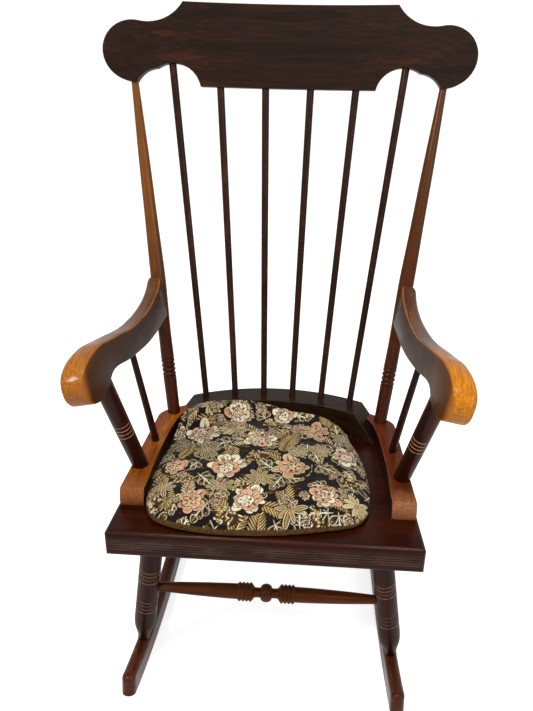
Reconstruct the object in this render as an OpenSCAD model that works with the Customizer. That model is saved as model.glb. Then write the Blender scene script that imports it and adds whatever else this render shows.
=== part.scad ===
// High-backed rocking chair: shaped plank seat, turned legs on two curved runners,
// bent crest rail with round ears, scrolled arms and a loose cushion.
// Millimetres, +Z up, front towards -Y. The origin lies on the floor, in the middle
// of the rectangle that the two runners span.
// The upper chair is drawn in a frame of its own: its origin is the middle of the
// plank's front top edge, with y back along the seat and z square to the seat.

/* [Seat] */
// Width at the front edge between the lines from which rails, posts and legs are set out
seat_w = 496; // [480:1:512]
// Width between these lines at the middle of the rear edge
seat_back_w = 426; // [416:1:436]
// Depth from the plank's front edge to the riser's rear face in the middle
seat_d = 388; // [380:1:396]
// Thickness of the plank
seat_t = 45; // [42:1:48]
// Distance that the plank stands out past the set-out lines
side_out = 2.5; // [2:0.25:3]
// Radius of the plank's rounded upper side edges
side_r = 4; // [3:0.5:5]
// Radius of the riser's curved rear face
seat_rear_r = 355; // [345:1:370]
// Radius of the plank's rear corners
seat_corner_r = 30; // [24:1:36]
// Radius of the plank's front corners
seat_front_r = 4; // [2:0.5:6]
// Height of the front top edge over the floor
seat_front_h = 394.4; // [384:0.1:406]
// Backward tilt of the seat in degrees
seat_tilt = 3.4; // [2.4:0.1:4.4]
// Radius of the rounded top of the front edge
nosing_r = 9; // [6:0.5:12]
// Radius of the rounded bottom of the front edge
under_r = 5; // [3:0.5:7]
// Depth of the first reed groove under the top of the seat
reed_drop = 15.5; // [14:0.5:17]
// Distance between two reed grooves
reed_pitch = 4.9; // [4.5:0.1:5.3]
// Radius of a reed groove
reed_r = 1.5; // [1.2:0.1:1.8]
// Number of reed grooves
reed_count = 4; // [2:1:5]

/* [Side rails] */
// Height of a rail over the plank
rail_h = 32; // [29:1:36]
// Distance from the seat's front edge to the front of a rail
rail_front = 70; // [64:1:76]
// Width of a rail near its front
rail_w = 37; // [35:0.5:40]
// Distance of the rail's outer face inside the set-out line
rail_inset = 1.5; // [1:0.5:3]
// Radius of the rail's rolled front face
rail_nose_r = 40; // [36:1:50]

/* [Back riser] */
// Height of the riser over the plank
riser_h = 50; // [47:1:54]
// Width of the riser from front to back
riser_w = 46; // [43:1:49]
// Distance from a rear corner of the riser's top to the middle of the back post
riser_gap = 33.5; // [32:0.5:38]
// Turn of the riser's end faces in degrees
riser_end_turn = 21; // [19:1:24]
// Slope of the riser's end faces in degrees
riser_end_slope = 48; // [45:1:52]
// Radius of the cove along the foot of the riser
cove_r = 36; // [34:1:40]
// Thickness of the lip at the foot of the cove
cove_lip = 0.8; // [0.6:0.1:1.2]

/* [Crest rail] */
// Height of the crest rail in its middle
crest_h = 137; // [130:1:144]
// Thickness of the bent board
crest_t = 20; // [18:0.5:22]
// Radius to which the board is bent
crest_bend_r = 1100; // [1000:10:1200]
// Backward lean of the crest rail in degrees, from square to the seat
crest_lean = 14; // [13:0.5:15]
// Distance of its lower front edge behind the seat's front edge
crest_y = 495.5; // [488:0.5:502]
// Height of its lower front edge over the seat
crest_z = 592; // [580:1:605]
// Radius of an ear
ear_r = 50; // [47:0.5:53]
// Distance of an ear's centre from the middle
ear_x = 265; // [260:1:270]
// Height of an ear's centre over the lower edge
ear_v = 54; // [52:0.5:56]
// Radius of the hollow shoulder beside an ear
shoulder_r = 72; // [68:1:76]
// Direction of the shoulder's centre from the ear's centre in degrees
shoulder_turn = 99.5; // [97:0.5:102]
// Radius of the main arch in the lower edge
arch_r = 47; // [44:0.5:50]
// Distance of the main arch from the middle
arch_x = 198; // [196:0.5:201]
// Drop of the main arch's centre under the lower edge
arch_drop = 10; // [8:0.5:12]
// Radius of the small arch beside the ear
cusp_r = 42; // [40:0.5:44]
// Distance of the small arch from the middle
cusp_x = 222; // [219:0.5:225]
// Drop of the small arch's centre under the lower edge
cusp_drop = 14; // [12:0.5:16]

/* [Back spindles] */
// Distance between two spindles at the riser
spindle_pitch = 54.5; // [53:0.5:57]
// Distance between two spindles at the crest rail
spindle_top_pitch = 79; // [77:0.2:81]
// Diameter of a spindle at the riser
spindle_d = 11.5; // [10.5:0.5:12.5]
// Diameter of a spindle at the crest rail
spindle_top_d = 13; // [12:0.5:13.5]
// Radius of the row of spindles on the riser
spindle_row_r = 530; // [500:10:600]
// Depth of a spindle's ends in the riser and the crest rail
spindle_tenon = 18; // [14:1:22]

/* [Back posts] */
// Largest diameter of a back post
post_d = 27; // [25:0.5:29]
// Diameter of a back post at the crest rail
post_top_d = 12.5; // [11.5:0.5:13.5]
// Distance of a post's centre inside the set-out line
post_edge = 26; // [24.5:0.5:27.5]
// Distance of a post's centre in front of the riser's rear face
post_back = 72; // [70:1:75]
// Height of the first bead over the rail
post_bead_z = 69; // [60:1:74]
// Length of one bead
post_bead_len = 8.5; // [8:0.25:9]
// Depth of the band in which the beads are turned
post_bead_deep = 1.8; // [1.4:0.1:2.2]
// Number of beads
post_bead_count = 4; // [3:1:5]

/* [Arms] */
// Height of the arm's highest point over the seat
arm_z = 284; // [277:1:291]
// Length of an arm along the seat
arm_len = 376; // [370:1:384]
// Distance of the arm's front behind the seat's front edge
arm_front = 5; // [0:1:10]
// Width of an arm at its scroll
arm_w = 40; // [38:0.5:42]
// Outward lean of an arm in degrees
arm_lean = 11.5; // [10.5:0.5:12.5]
// Rearward convergence of an arm in degrees
arm_turn = 7.9; // [7.5:0.1:8.3]
// Distance of the arm's middle inside the top of its post
arm_shift = 3; // [2:0.5:4]
// Distance of the arm's rear end in front of the middle of the back post
arm_end = 11; // [9:0.5:12]
// Radius of the arm's outer top edge
arm_round = 12; // [9:0.5:13]
// Radius of the arm's other long edges
arm_edge = 3; // [2:0.5:4]

/* [Arm supports] */
// Distance of an arm post's foot inside the set-out line
arm_post_edge = 15; // [14.5:0.5:16.5]
// Distance of an arm post's foot behind the seat's front edge
arm_post_y = 141.5; // [138:0.5:145]
// Distance of an arm post's top from the middle of the chair
arm_post_top_x = 263.5; // [261.5:0.5:265.5]
// Distance of an arm post's top behind the seat's front edge
arm_post_top_y = 93; // [90.5:0.5:95.5]
// Height of an arm post's shoulder over the seat
arm_post_z = 234; // [232:0.5:237]
// Largest diameter of an arm post
arm_post_d = 31; // [29:0.5:32]
// Diameter of an arm post at the rail
arm_post_foot_d = 27; // [25:0.5:28]
// Height of the lowest ring groove over the rail
arm_ring_z = 78; // [72:1:84]
// Distance between two ring grooves on an arm post
arm_ring_pitch = 8; // [7:0.5:9]
// Number of ring grooves on an arm post
arm_ring_count = 4; // [3:1:4]
// Distance of an arm spindle's foot inside the set-out line
arm_spindle_edge = 19.5; // [18:0.5:21]
// Distance of an arm spindle behind the seat's front edge
arm_spindle_y = 217; // [212:1:222]
// Distance of its top outside the arm's middle
arm_spindle_out = 5; // [3:0.5:6]
// Diameter of an arm spindle at the rail
arm_spindle_d = 13; // [12:0.5:14]
// Diameter of an arm spindle at the arm
arm_spindle_top_d = 11; // [10:0.5:12]

/* [Legs] */
// Largest diameter of a leg
leg_d = 39.5; // [38:0.5:41]
// Diameter of a leg's neck at the runner
leg_neck_d = 21.5; // [20:0.5:22]
// Distance of a front leg's top inside the set-out line
front_leg_edge = 53.5; // [51:0.5:56]
// Distance of a front leg's top behind the seat's front edge
front_leg_y = 74; // [71:0.5:77]
// Distance of a rear leg's top inside the set-out line
rear_leg_edge = 40.5; // [39:0.5:43]
// Distance of a rear leg's top in front of the riser's rear face
rear_leg_back = 61; // [59:0.5:65]
// Diameter of the tenon in the plank
leg_tenon_d = 24; // [22:0.5:26]
// Depth of the tenon in the plank
leg_tenon = 24; // [20:1:28]
// Distance between two ring grooves on a leg
leg_ring_pitch = 9; // [8:0.5:10]
// Number of ring grooves in each group
leg_ring_count = 4; // [3:1:4]
// Radius of a ring groove
ring_r = 1.2; // [0.8:0.1:1.5]

/* [Stretchers] */
// Diameter of the beads on the front stretcher
bead_d = 33.5; // [31:0.5:35]
// Diameter of the ball in its middle
ball_d = 32; // [30:0.5:34]
// Length of the ball
ball_len = 20; // [18:0.5:22]
// Diameter of the necks beside the ball
ball_neck_d = 17.5; // [16:0.5:19]
// Distance from the middle to the first bead
bead_start = 24; // [23:0.5:26]
// Length of one bead
bead_pitch = 6.5; // [6:0.25:7]
// Number of beads on each side
bead_count = 4; // [3:1:5]
// Diameter of the swelling next to the beads
swell_d = 27; // [25:0.5:29]
// Diameter of a stretcher at its ends
stretcher_end_d = 16; // [15:0.5:17]
// Largest diameter of the side and rear stretchers
stretcher_d = 19; // [18:0.5:21]
// Diameter of a stretcher's tenon
stretcher_tenon_d = 12; // [11:0.5:13]

/* [Runners] */
// Radius of the runner's curved underside
runner_r = 1050; // [1000:10:1100]
// Height of a runner
runner_h = 40; // [38:0.5:43]
// Width of a runner
runner_w = 24.5; // [24:0.5:26]
// Radius of the runner's rounded upper edges
runner_round = 9.5; // [8:0.5:10]
// Arc in front of the point that touches the floor, in degrees
runner_front_angle = 14.8; // [14:0.1:15.5]
// Arc behind the point that touches the floor, in degrees
runner_rear_angle = 21.5; // [20.5:0.1:22.5]
// Convergence of a runner towards the rear in degrees
runner_toe = 2.9; // [2.6:0.1:3.2]
// Distance of a runner from the middle at the point that touches the floor
runner_x = 221.5; // [219:0.5:224]
// Distance of that point behind the seat's front edge: the chair balances over it
balance_y = 247.7; // [240:0.1:256]
// Arc from that point to a front leg's foot, in degrees
front_foot_angle = 9.2; // [8.9:0.1:9.5]
// Arc from that point to a rear leg's foot, in degrees
rear_foot_angle = 6.7; // [6.4:0.1:7]
// Depth of a leg's foot in the runner
foot_sink = 6; // [5:0.5:8]
// Diameter of the tenon under a leg's foot
foot_tenon_d = 14; // [12:0.5:15]
// Depth of that tenon under the foot
foot_tenon = 14; // [10:1:18]

/* [Cushion] */
// Width of the cushion
cushion_w = 366; // [360:1:368]
// Depth of the cushion
cushion_d = 333.5; // [330:0.5:334]
// Distance of the cushion's front behind the seat's front edge
cushion_front = 6; // [3:0.5:6.5]
// Shift of the cushion's middle towards the left
cushion_shift = 14; // [12:0.5:14.5]
// Height of the cushion's sides
cushion_edge = 17; // [14:0.5:20]
// Height of the cushion's crown over its underside
cushion_crown = 36; // [30:1:42]
// Clearance between the cushion and the wood
cushion_gap = 0.4; // [0.3:0.05:0.6]

/* [Screws and fits] */
// Clearance all round a tenon, a plug or a housed end
fit = 0.1; // [0.05:0.05:0.2]
// Diameter of a screw's shank
screw_d = 4.5; // [4:0.5:5]
// Diameter of a screw's head
screw_head_d = 8.5; // [8:0.5:9.5]
// Length of the screws in the arms
arm_screw_len = 62; // [56:1:66]
// Length of the screws in the seat
seat_screw_len = 62; // [58:1:66]
// Diameter of the plugs over the arm screws
plug_d = 9.5; // [9:0.5:10]
// Thickness of those plugs
plug_t = 5; // [4:0.5:6]

/* [Hidden] */
$fn = 96;
// Overrun of every cut
over = 1;
// Number of spindles between the back posts
spindle_count = 6;
// A length that reaches past the whole chair
far = 3 * seat_w;

// Inward slope of the plank's straight sides
side_slope = (seat_w - seat_back_w) / 2 / seat_d;
side_angle = atan(side_slope);
// Centre of the curved rear edge
rear_c = seat_d - seat_rear_r;
// Middle of the rail between its two faces
rail_mid = rail_w / 2;

// Middle line of the spindles on the riser
spindle_y = seat_d - riser_w / 2;

// Floor line of the chair: how far the runners reach from the point of contact
cap_r = runner_w / 2;
front_ext = runner_r * sin(runner_front_angle) * cos(runner_toe)
    + cap_r * norm([sin(runner_toe), cos(runner_front_angle) * cos(runner_toe)]);
rear_ext = runner_r * sin(runner_rear_angle) * cos(runner_toe)
    + cap_r * norm([sin(runner_toe), cos(runner_rear_angle) * cos(runner_toe)]);
contact_y = (front_ext - rear_ext) / 2;
seat_front_y = contact_y - balance_y;

// Inner face of a rail: share of the seat's depth, share of the rail's front width
rail_inner_shares = [
    [0.100, 1.08], [0.206, 1.062], [0.255, 1.043], [0.340, 0.985], [0.425, 0.935],
    [0.510, 0.924], [0.588, 0.93], [0.686, 0.96], [0.747, 1.036], [0.789, 1.13],
    [0.820, 1.28], [0.855, 1.50]
];

// Outline of the turned back post: share of its length, and the share by which its
// diameter has grown there from that of its top to the largest
post_shares = [
    [0, 0.739], [0.06, 0.758], [0.11, 0.814], [0.145, 0.851], [0.18, 0.814],
    [0.23, 0.758], [0.28, 0.777], [0.36, 0.926], [0.42, 1], [0.47, 0.963],
    [0.53, 0.851], [0.62, 0.683], [0.70, 0.59], [0.80, 0.441], [0.90, 0.218], [1, 0]
];

// Outline of the turned leg: share of its length, and the share by which its diameter
// has grown there from that of its neck to the largest
leg_shares = [
    [0, 0.781], [0.10, 0.846], [0.30, 0.923], [0.50, 0.945], [0.68, 0.967], [0.77, 1],
    [0.81, 0.989], [0.85, 0.901], [0.88, 0.737], [0.91, 0.473], [0.94, 0.22],
    [0.965, 0.05], [0.98, 0]
];
// Places along the leg: first groove of the upper and of the lower group, stretchers
upper_ring_share = 0.331;
lower_ring_share = 0.597;
front_stretcher_share = 0.509;
side_front_share = 0.393;
side_rear_share = 0.408;
rear_stretcher_share = 0.51;

// Side view of the arm: share of its length, then its underside and its top as shares
// of its height over the seat, then its width as a share of its greatest width
arm_shares = [
    [0.000, 0.858, 0.895, 0.63], [0.006, 0.828, 0.917, 0.80], [0.018, 0.800, 0.940, 0.90],
    [0.037, 0.772, 0.964, 0.97], [0.064, 0.756, 0.982, 1.00], [0.098, 0.745, 0.995, 1.01],
    [0.137, 0.746, 1.001, 1.01], [0.178, 0.760, 1.001, 1.01], [0.210, 0.783, 0.999, 1.01],
    [0.238, 0.802, 0.993, 1.01], [0.271, 0.809, 0.983, 1.00], [0.309, 0.804, 0.971, 1.00],
    [0.356, 0.789, 0.957, 0.98], [0.404, 0.772, 0.943, 0.97], [0.460, 0.757, 0.925, 0.94],
    [0.520, 0.745, 0.908, 0.92], [0.580, 0.733, 0.896, 0.88], [0.640, 0.724, 0.891, 0.85],
    [0.710, 0.719, 0.890, 0.81], [0.780, 0.719, 0.896, 0.77], [0.850, 0.723, 0.911, 0.74],
    [0.910, 0.728, 0.934, 0.72], [0.955, 0.734, 0.962, 0.71], [1.000, 0.741, 1.004, 0.69]
];

// Plan of the cushion: shares of its width from its middle and of its depth
cushion_shares = [
    [-0.325, 0.017], [-0.435, 0.064], [-0.486, 0.162], [-0.500, 0.310], [-0.496, 0.480],
    [-0.480, 0.655], [-0.450, 0.798], [-0.402, 0.890], [-0.320, 0.962], [-0.172, 0.992],
    [-0.015, 0.998], [0.145, 0.985], [0.257, 0.958], [0.342, 0.908], [0.412, 0.825],
    [0.462, 0.688], [0.492, 0.522], [0.500, 0.370], [0.494, 0.240], [0.474, 0.160],
    [0.421, 0.096], [0.276, 0.051], [0.134, 0.018], [-0.019, 0.000], [-0.180, -0.004]
];
// Rings of the cushion from the middle of its underside to the middle of its top:
// share of the plan, share of the side's height, share of the crown's extra height
cushion_ring_shares = [
    [0.50, 0, 0], [0.90, 0, 0], [0.955, 0.10, 0], [0.972, 0.22, 0], [0.996, 0.36, 0],
    [1.00, 0.56, 0], [0.990, 0.76, 0], [0.965, 0.90, 0], [0.940, 0.94, 0.04],
    [0.90, 1, 0.17], [0.83, 1, 0.36], [0.72, 1, 0.57], [0.56, 1, 0.79], [0.34, 1, 0.95]
];

// A point between two others
function mix(a, b, t) = a + (b - a) * t;

// Smooth curve through the rows of a table, with n steps between two rows
function row(t, i) = t[min(max(i, 0), len(t) - 1)];
function curve_at(a, b, c, d, u) =
    ((2 * b) + (c - a) * u + (2 * a - 5 * b + 4 * c - d) * u * u
    + (3 * b - a - 3 * c + d) * u * u * u) / 2;
function smooth(t, n) = [
    for (i = [0 : len(t) - 2], k = [0 : n - 1])
        curve_at(row(t, i - 1), row(t, i), row(t, i + 1), row(t, i + 2), k / n),
    t[len(t) - 1]
];
function smooth_loop(t, n) = [
    for (i = [0 : len(t) - 1], k = [0 : n - 1])
        curve_at(
            t[(i + len(t) - 1) % len(t)], t[i], t[(i + 1) % len(t)],
            t[(i + 2) % len(t)], k / n
        )
];

// Half width of the seat at a depth, less an inset
function side_x(y, inset = 0) = seat_w / 2 - side_slope * y - inset;

// Centre of the rounded rear corner of the seat's outline
function corner_c(inset) =
    let (
        a = seat_w / 2 - inset - seat_corner_r / cos(side_angle),
        q = seat_rear_r - inset - seat_corner_r,
        b = a * side_slope + rear_c,
        k = 1 + side_slope * side_slope,
        y = (b + sqrt(b * b - k * (a * a + rear_c * rear_c - q * q))) / k
    )
    [a - side_slope * y, y];

// Points of an arc
function arc(c, r, a0, a1, n) = [
    for (i = [0 : n]) c + r * [cos(mix(a0, a1, i / n)), sin(mix(a0, a1, i / n))]
];

// Plan of the seat, drawn in by an inset
function seat_outline(inset) =
    let (
        c = corner_c(inset),
        turn = atan2(c.y - rear_c, c.x),
        f = [side_x(seat_front_r, inset) - seat_front_r / cos(side_angle), seat_front_r],
        right = concat(
            arc(f, seat_front_r, -90, side_angle, 5),
            arc(c, seat_corner_r, side_angle, turn, 10),
            arc([0, rear_c], seat_rear_r - inset, turn, 90, 20)
        )
    )
    concat(right, [for (i = [len(right) - 2 : -1 : 0]) [-right[i].x, right[i].y]]);

// Inner face of the right rail in plan
rail_inner = [
    for (p = smooth(rail_inner_shares, 3))
        [side_x(p.x * seat_d, rail_inset) - p.y * rail_w, p.x * seat_d]
];

// End plane of the riser: distance along its normal at a height over the plank
riser_corner_x = side_x(seat_d - post_back, post_edge) - riser_gap;
riser_corner = [
    riser_corner_x,
    rear_c + sqrt(seat_rear_r * seat_rear_r - riser_corner_x * riser_corner_x)
];
function riser_run(z) = (riser_h - z) / tan(riser_end_slope);

// A point of the crest rail: across, up from its lower edge, deep from its front face
function crest_pt(x, v, d) =
    let (n = sqrt((crest_bend_r + d) * (crest_bend_r + d) - x * x) - crest_bend_r)
    [
        x,
        crest_y + v * sin(crest_lean) + n * cos(crest_lean),
        crest_z + v * cos(crest_lean) - n * sin(crest_lean)
    ];

// Ends of the back spindles, the post, the arm post and the arm spindle, right side
function spindle_x(i) = i - (spindle_count - 1) / 2;
function spindle_foot(i) =
    let (x = spindle_x(i) * spindle_pitch)
    [x, spindle_y - x * x / 2 / spindle_row_r, riser_h];
function spindle_head(i) = crest_pt(spindle_x(i) * spindle_top_pitch, 0, crest_t / 2);
// The outer spindles end in the arches and are that much longer
function spindle_more(i) = (i == 0 || i == spindle_count - 1) ? arch_r - arch_drop : 0;

post_foot = [side_x(seat_d - post_back, post_edge), seat_d - post_back, rail_h];
post_head = crest_pt(ear_x, ear_v - ear_r, crest_t / 2);
arm_post_foot = [side_x(arm_post_y, arm_post_edge), arm_post_y, rail_h];
arm_post_head = [arm_post_top_x, arm_post_top_y, arm_post_z];

// Middle surface of the right arm
function arm_x(y, z) = arm_post_top_x - arm_shift - (y - arm_post_top_y) * tan(arm_turn)
    + (z - arm_post_z) * tan(arm_lean);
function arm_y(share) = arm_front + share * arm_len;

arm_spindle_foot = [side_x(arm_spindle_y, arm_spindle_edge), arm_spindle_y, rail_h];
// Underside of the arm over the spindle, and the depth of the spindle in it
arm_spindle_z = arm_z * width_at(arm_shares, (arm_spindle_y - arm_front) / arm_len);
arm_tenon = 16;
arm_spindle_head = [
    arm_x(arm_spindle_y, arm_spindle_z) + arm_spindle_out, arm_spindle_y,
    arm_spindle_z + arm_tenon
];

// From the chair's own frame to the seat's frame
function to_seat(p) =
    let (y = p.y - seat_front_y, z = p.z - seat_front_h)
    [
        p.x,
        y * cos(seat_tilt) - z * sin(seat_tilt),
        y * sin(seat_tilt) + z * cos(seat_tilt)
    ];
// A point of the right runner, at a radius and an angle behind the point of contact
function runner_pt(r, turn) = [
    runner_x - r * sin(turn) * sin(runner_toe),
    contact_y + r * sin(turn) * cos(runner_toe),
    runner_r - r * cos(turn)
];

front_leg_top = [side_x(front_leg_y, front_leg_edge), front_leg_y, -seat_t];
front_leg_foot = to_seat(runner_pt(runner_r - runner_h, -front_foot_angle));
rear_leg_top = [
    side_x(seat_d - rear_leg_back, rear_leg_edge), seat_d - rear_leg_back, -seat_t
];
rear_leg_foot = to_seat(runner_pt(runner_r - runner_h, rear_foot_angle));

function flip(p) = [-p.x, p.y, p.z];

// Tenons in the rails, and the peg of an arm post in the arm
rail_tenon_d = 18;
rail_tenon = 24;
arm_post_peg_d = 16;

// Outline of the turned arm post: share of its length, and the share by which its
// diameter has grown there from that of its foot to the largest
arm_post_shares = [
    [0, 0], [0.20, 0.22], [0.37, 0.48], [0.60, 0.66], [0.80, 0.88], [0.93, 1],
    [1, 1]
];

// Places of the stretchers on the legs, and the depths of their ends in the legs
stretcher_house = 3;
front_stretcher_p = mix(front_leg_top, front_leg_foot, front_stretcher_share);
side_stretcher_p = mix(front_leg_top, front_leg_foot, side_front_share);
side_stretcher_q = mix(rear_leg_top, rear_leg_foot, side_rear_share);
rear_stretcher_p = mix(rear_leg_top, rear_leg_foot, rear_stretcher_share);
stretcher_seat = leg_d / 2 - stretcher_house;
stretcher_tenon = -leg_d / 6;

// Where the screw in the end of an arm meets the middle of its back post
arm_screw_z = arm_z * 0.84;
arm_screw_at = mix(
    post_foot, post_head, (arm_screw_z - post_foot.z) / (post_head.z - post_foot.z)
);
// Distance of the plug behind the middle of the post, and of the bottom of its hole,
// where the screw's head is seated
plug_seat = post_d / 2 - plug_t - fit;
head_seat = plug_seat - screw_head_d / 2 - fit;

// Puts the seat's frame into the chair's
module in_chair() {
    translate([0, seat_front_y, seat_front_h]) rotate([-seat_tilt, 0, 0]) children();
}

module left() {
    mirror([1, 0, 0]) children();
}

// Stands what is drawn along z on a line from p to q
module along(p, q) {
    d = q - p;
    translate(p) rotate([0, acos(d.z / norm(d)), atan2(d.y, d.x)]) children();
}

// A round pin or hole on the line from p to q, from a before p to b behind it
module peg(p, q, d, a, b) {
    along(p, q) rotate(90) translate([0, 0, -a]) cylinder(d = d, h = a + b);
}

// A turned piece: rows of height and diameter, revolved
module turned(rows) {
    rotate_extrude() polygon(concat(
        [[0, rows[0].x]],
        [for (p = rows) [p.y / 2, p.x]],
        [[0, rows[len(rows) - 1].x]]
    ));
}

// Ring grooves cut round a turned piece, one for each diameter
module ring_grooves(z0, pitch, diameters) {
    for (i = [0 : len(diameters) - 1])
        translate([0, 0, z0 + i * pitch])
            rotate_extrude() translate([diameters[i] / 2 + ring_r / 3, 0]) circle(r = ring_r, $fn = 24);
}

// What is turned away between round beads, one for each diameter
module bead_band(z0, pitch, diameters) {
    n = len(diameters);
    r = pitch / 2;
    rotate_extrude() difference() {
        translate([diameters[0] / 2 - post_bead_deep, z0])
            square([post_bead_deep + r, n * pitch]);
        for (i = [0 : n - 1])
            translate([diameters[i] / 2 - r + post_bead_deep / 6, z0 + (i + 0.5) * pitch])
                circle(r = r, $fn = 32);
    }
}

// Second entry of a table's rows at a place between them
function width_at(rows, s) =
    let (i = max([for (k = [0 : len(rows) - 2]) if (rows[k].x <= s) k]))
    mix(rows[i].y, rows[i + 1].y, (s - rows[i].x) / (rows[i + 1].x - rows[i].x));

// Half spaces of the seat's frame
module below(z) {
    translate([-far, -far, z - far]) cube([2 * far, 2 * far, far]);
}
module above(z) {
    translate([-far, -far, z]) cube([2 * far, 2 * far, far]);
}

// Draws a side view (y across, z up) through the whole width of the chair
module across() {
    translate([-far, 0, 0]) rotate([90, 0, 90]) linear_extrude(2 * far) children();
}

// Places of the screws that hold the rails and the riser
rail_screw_shares = [0.27, 0.45, 0.68];
function rail_screw(i) =
    let (y = rail_screw_shares[i] * seat_d) [side_x(y, rail_inset + rail_mid), y];
riser_screw_turns = [-18, -6, 6, 18];
function riser_screw(i) =
    let (r = seat_rear_r - riser_w / 2, a = riser_screw_turns[i])
    [r * sin(a), rear_c + r * cos(a)];

// Side view of the plank's front edge and its reeds
module plank_profile() {
    difference() {
        union() {
            translate([0, under_r - seat_t]) square([seat_d, seat_t - under_r - nosing_r]);
            translate([nosing_r, -seat_t / 2]) square([seat_d, seat_t / 2]);
            translate([under_r, -seat_t]) square([seat_d, seat_t / 2]);
            translate([nosing_r, -nosing_r]) circle(r = nosing_r);
            translate([under_r, under_r - seat_t]) circle(r = under_r);
        }
        for (i = [0 : reed_count - 1])
            translate([-reed_r / 3, -reed_drop - i * reed_pitch]) circle(r = reed_r, $fn = 24);
    }
}

// What is rounded off along the plank's right upper edge
module side_rounding() {
    translate([side_x(0, -side_out), 0, 0]) rotate([90, 0, side_angle])
        translate([-side_r, -side_r, -2 * seat_d]) linear_extrude(3 * seat_d)
            difference() {
                square(2 * side_r);
                circle(r = side_r);
            }
}

module screw_hole(p, top) {
    translate([p.x, p.y, -seat_t - over]) cylinder(d = screw_d + 2 * fit, h = top + seat_t + over);
    translate([p.x, p.y, -seat_t - over])
        cylinder(d = screw_head_d + 2 * fit, h = screw_head_d / 2 + over);
}

module seat_plank() {
    color("#3a1a12") in_chair() difference() {
        intersection() {
            translate([0, 0, -seat_t - over]) linear_extrude(seat_t + 2 * over)
                polygon(seat_outline(-side_out));
            across() plank_profile();
        }
        for (s = [0, 1]) mirror([s, 0, 0]) side_rounding();
        for (s = [0, 1]) mirror([s, 0, 0]) {
            peg(front_leg_top, front_leg_foot, leg_tenon_d + 2 * fit, leg_tenon + fit, leg_tenon);
            peg(rear_leg_top, rear_leg_foot, leg_tenon_d + 2 * fit, leg_tenon + fit, leg_tenon);
            for (i = [0 : len(rail_screw_shares) - 1]) screw_hole(rail_screw(i), over);
        }
        for (i = [0 : len(riser_screw_turns) - 1]) screw_hole(riser_screw(i), over);
    }
}

// Plan of the right rail, grown by g towards the riser
module rail_plan(g) {
    n = len(rail_inner);
    intersection() {
        polygon(seat_outline(rail_inset - g));
        polygon(concat(
            [for (p = rail_inner) [p.x - g, p.y]],
            [[rail_inner[n - 1].x - g, seat_d], [seat_w, seat_d], [seat_w, rail_inner[0].y]]
        ));
        translate(riser_corner) rotate(-riser_end_turn)
            translate([riser_run(rail_h) + fit - g, -far]) square([far, 2 * far]);
    }
}

// Side view of a rail: its rolled front face
module rail_profile() {
    c = rail_front + rail_nose_r;
    intersection() {
        union() {
            translate([c, rail_h / 3]) circle(r = rail_nose_r);
            translate([c, 0]) square([seat_d, rail_h]);
        }
        square([seat_d + over, rail_h]);
    }
}

module seat_rail() {
    in_chair() difference() {
        intersection() {
            translate([0, 0, -over]) linear_extrude(rail_h + 2 * over) rail_plan(0);
            across() rail_profile();
        }
        peg(post_foot, post_head, rail_tenon_d + 2 * fit, rail_tenon + fit, rail_h);
        peg(arm_post_foot, arm_post_head, rail_tenon_d + 2 * fit, rail_tenon + fit, rail_h);
        peg(arm_spindle_foot, arm_spindle_head, arm_spindle_d + 2 * fit, rail_tenon + fit, rail_h);
        for (i = [0 : len(rail_screw_shares) - 1]) screw_hole(rail_screw(i), seat_screw_len - seat_t + fit);
    }
}
module seat_rail_left() {
    color("#7a3f14") left() seat_rail();
}
module seat_rail_right() {
    color("#7a3f14") seat_rail();
}

// What lies past the riser's right end face
module riser_end() {
    translate([riser_corner.x, riser_corner.y, 0]) rotate([0, 0, -riser_end_turn])
        rotate([90, 0, 0]) translate([0, 0, -far / 2]) linear_extrude(far)
            polygon([
                [riser_run(riser_h + over), riser_h + over], [far, riser_h + over],
                [far, -over], [riser_run(-over), -over]
            ]);
}

module back_riser() {
    cove_y = seat_d - riser_w - cove_r + cove_lip / 2;
    color("#2b1c16") in_chair() difference() {
        translate([0, rear_c, 0]) cylinder(r = seat_rear_r, h = riser_h, $fn = 360);
        // Hollow in front of the riser, down to the cove at its foot
        difference() {
            translate([0, rear_c, -over])
                cylinder(r = seat_rear_r - riser_w, h = riser_h + 2 * over, $fn = 360);
            difference() {
                translate([-far, cove_y, -2 * over]) cube([2 * far, far, 2 * far]);
                translate([-far, cove_y, cove_r + cove_lip]) rotate([0, 90, 0])
                    cylinder(r = cove_r, h = 2 * far);
                translate([-far, cove_y - over, cove_r + cove_lip]) cube([2 * far, cove_r + over, far]);
            }
        }
        translate([-far, -far, -over]) cube([2 * far, far + rear_c, far]);
        for (s = [0, 1]) mirror([s, 0, 0]) {
            riser_end();
            translate([0, 0, -over]) linear_extrude(rail_h + over) rail_plan(fit);
        }
        for (i = [0 : spindle_count - 1])
            peg(spindle_foot(i), spindle_head(i), spindle_d + 2 * fit, spindle_tenon + fit, riser_h);
        for (i = [0 : len(riser_screw_turns) - 1])
            screw_hole(riser_screw(i), seat_screw_len - seat_t + fit);
    }
}

module crest_outline() {
    shoulder = [
        ear_x + (ear_r + shoulder_r) * cos(shoulder_turn),
        ear_v + (ear_r + shoulder_r) * sin(shoulder_turn)
    ];
    difference() {
        union() {
            translate([-ear_x - ear_r * cos(shoulder_turn), 0])
                square([2 * (ear_x + ear_r * cos(shoulder_turn)), crest_h]);
            for (s = [-1, 1]) translate([s * ear_x, ear_v]) circle(r = ear_r);
        }
        for (s = [-1, 1]) {
            translate([s * shoulder.x, shoulder.y]) circle(r = shoulder_r);
            translate([s * arch_x, -arch_drop]) circle(r = arch_r);
            translate([s * cusp_x, -cusp_drop]) circle(r = cusp_r);
        }
    }
}

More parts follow.
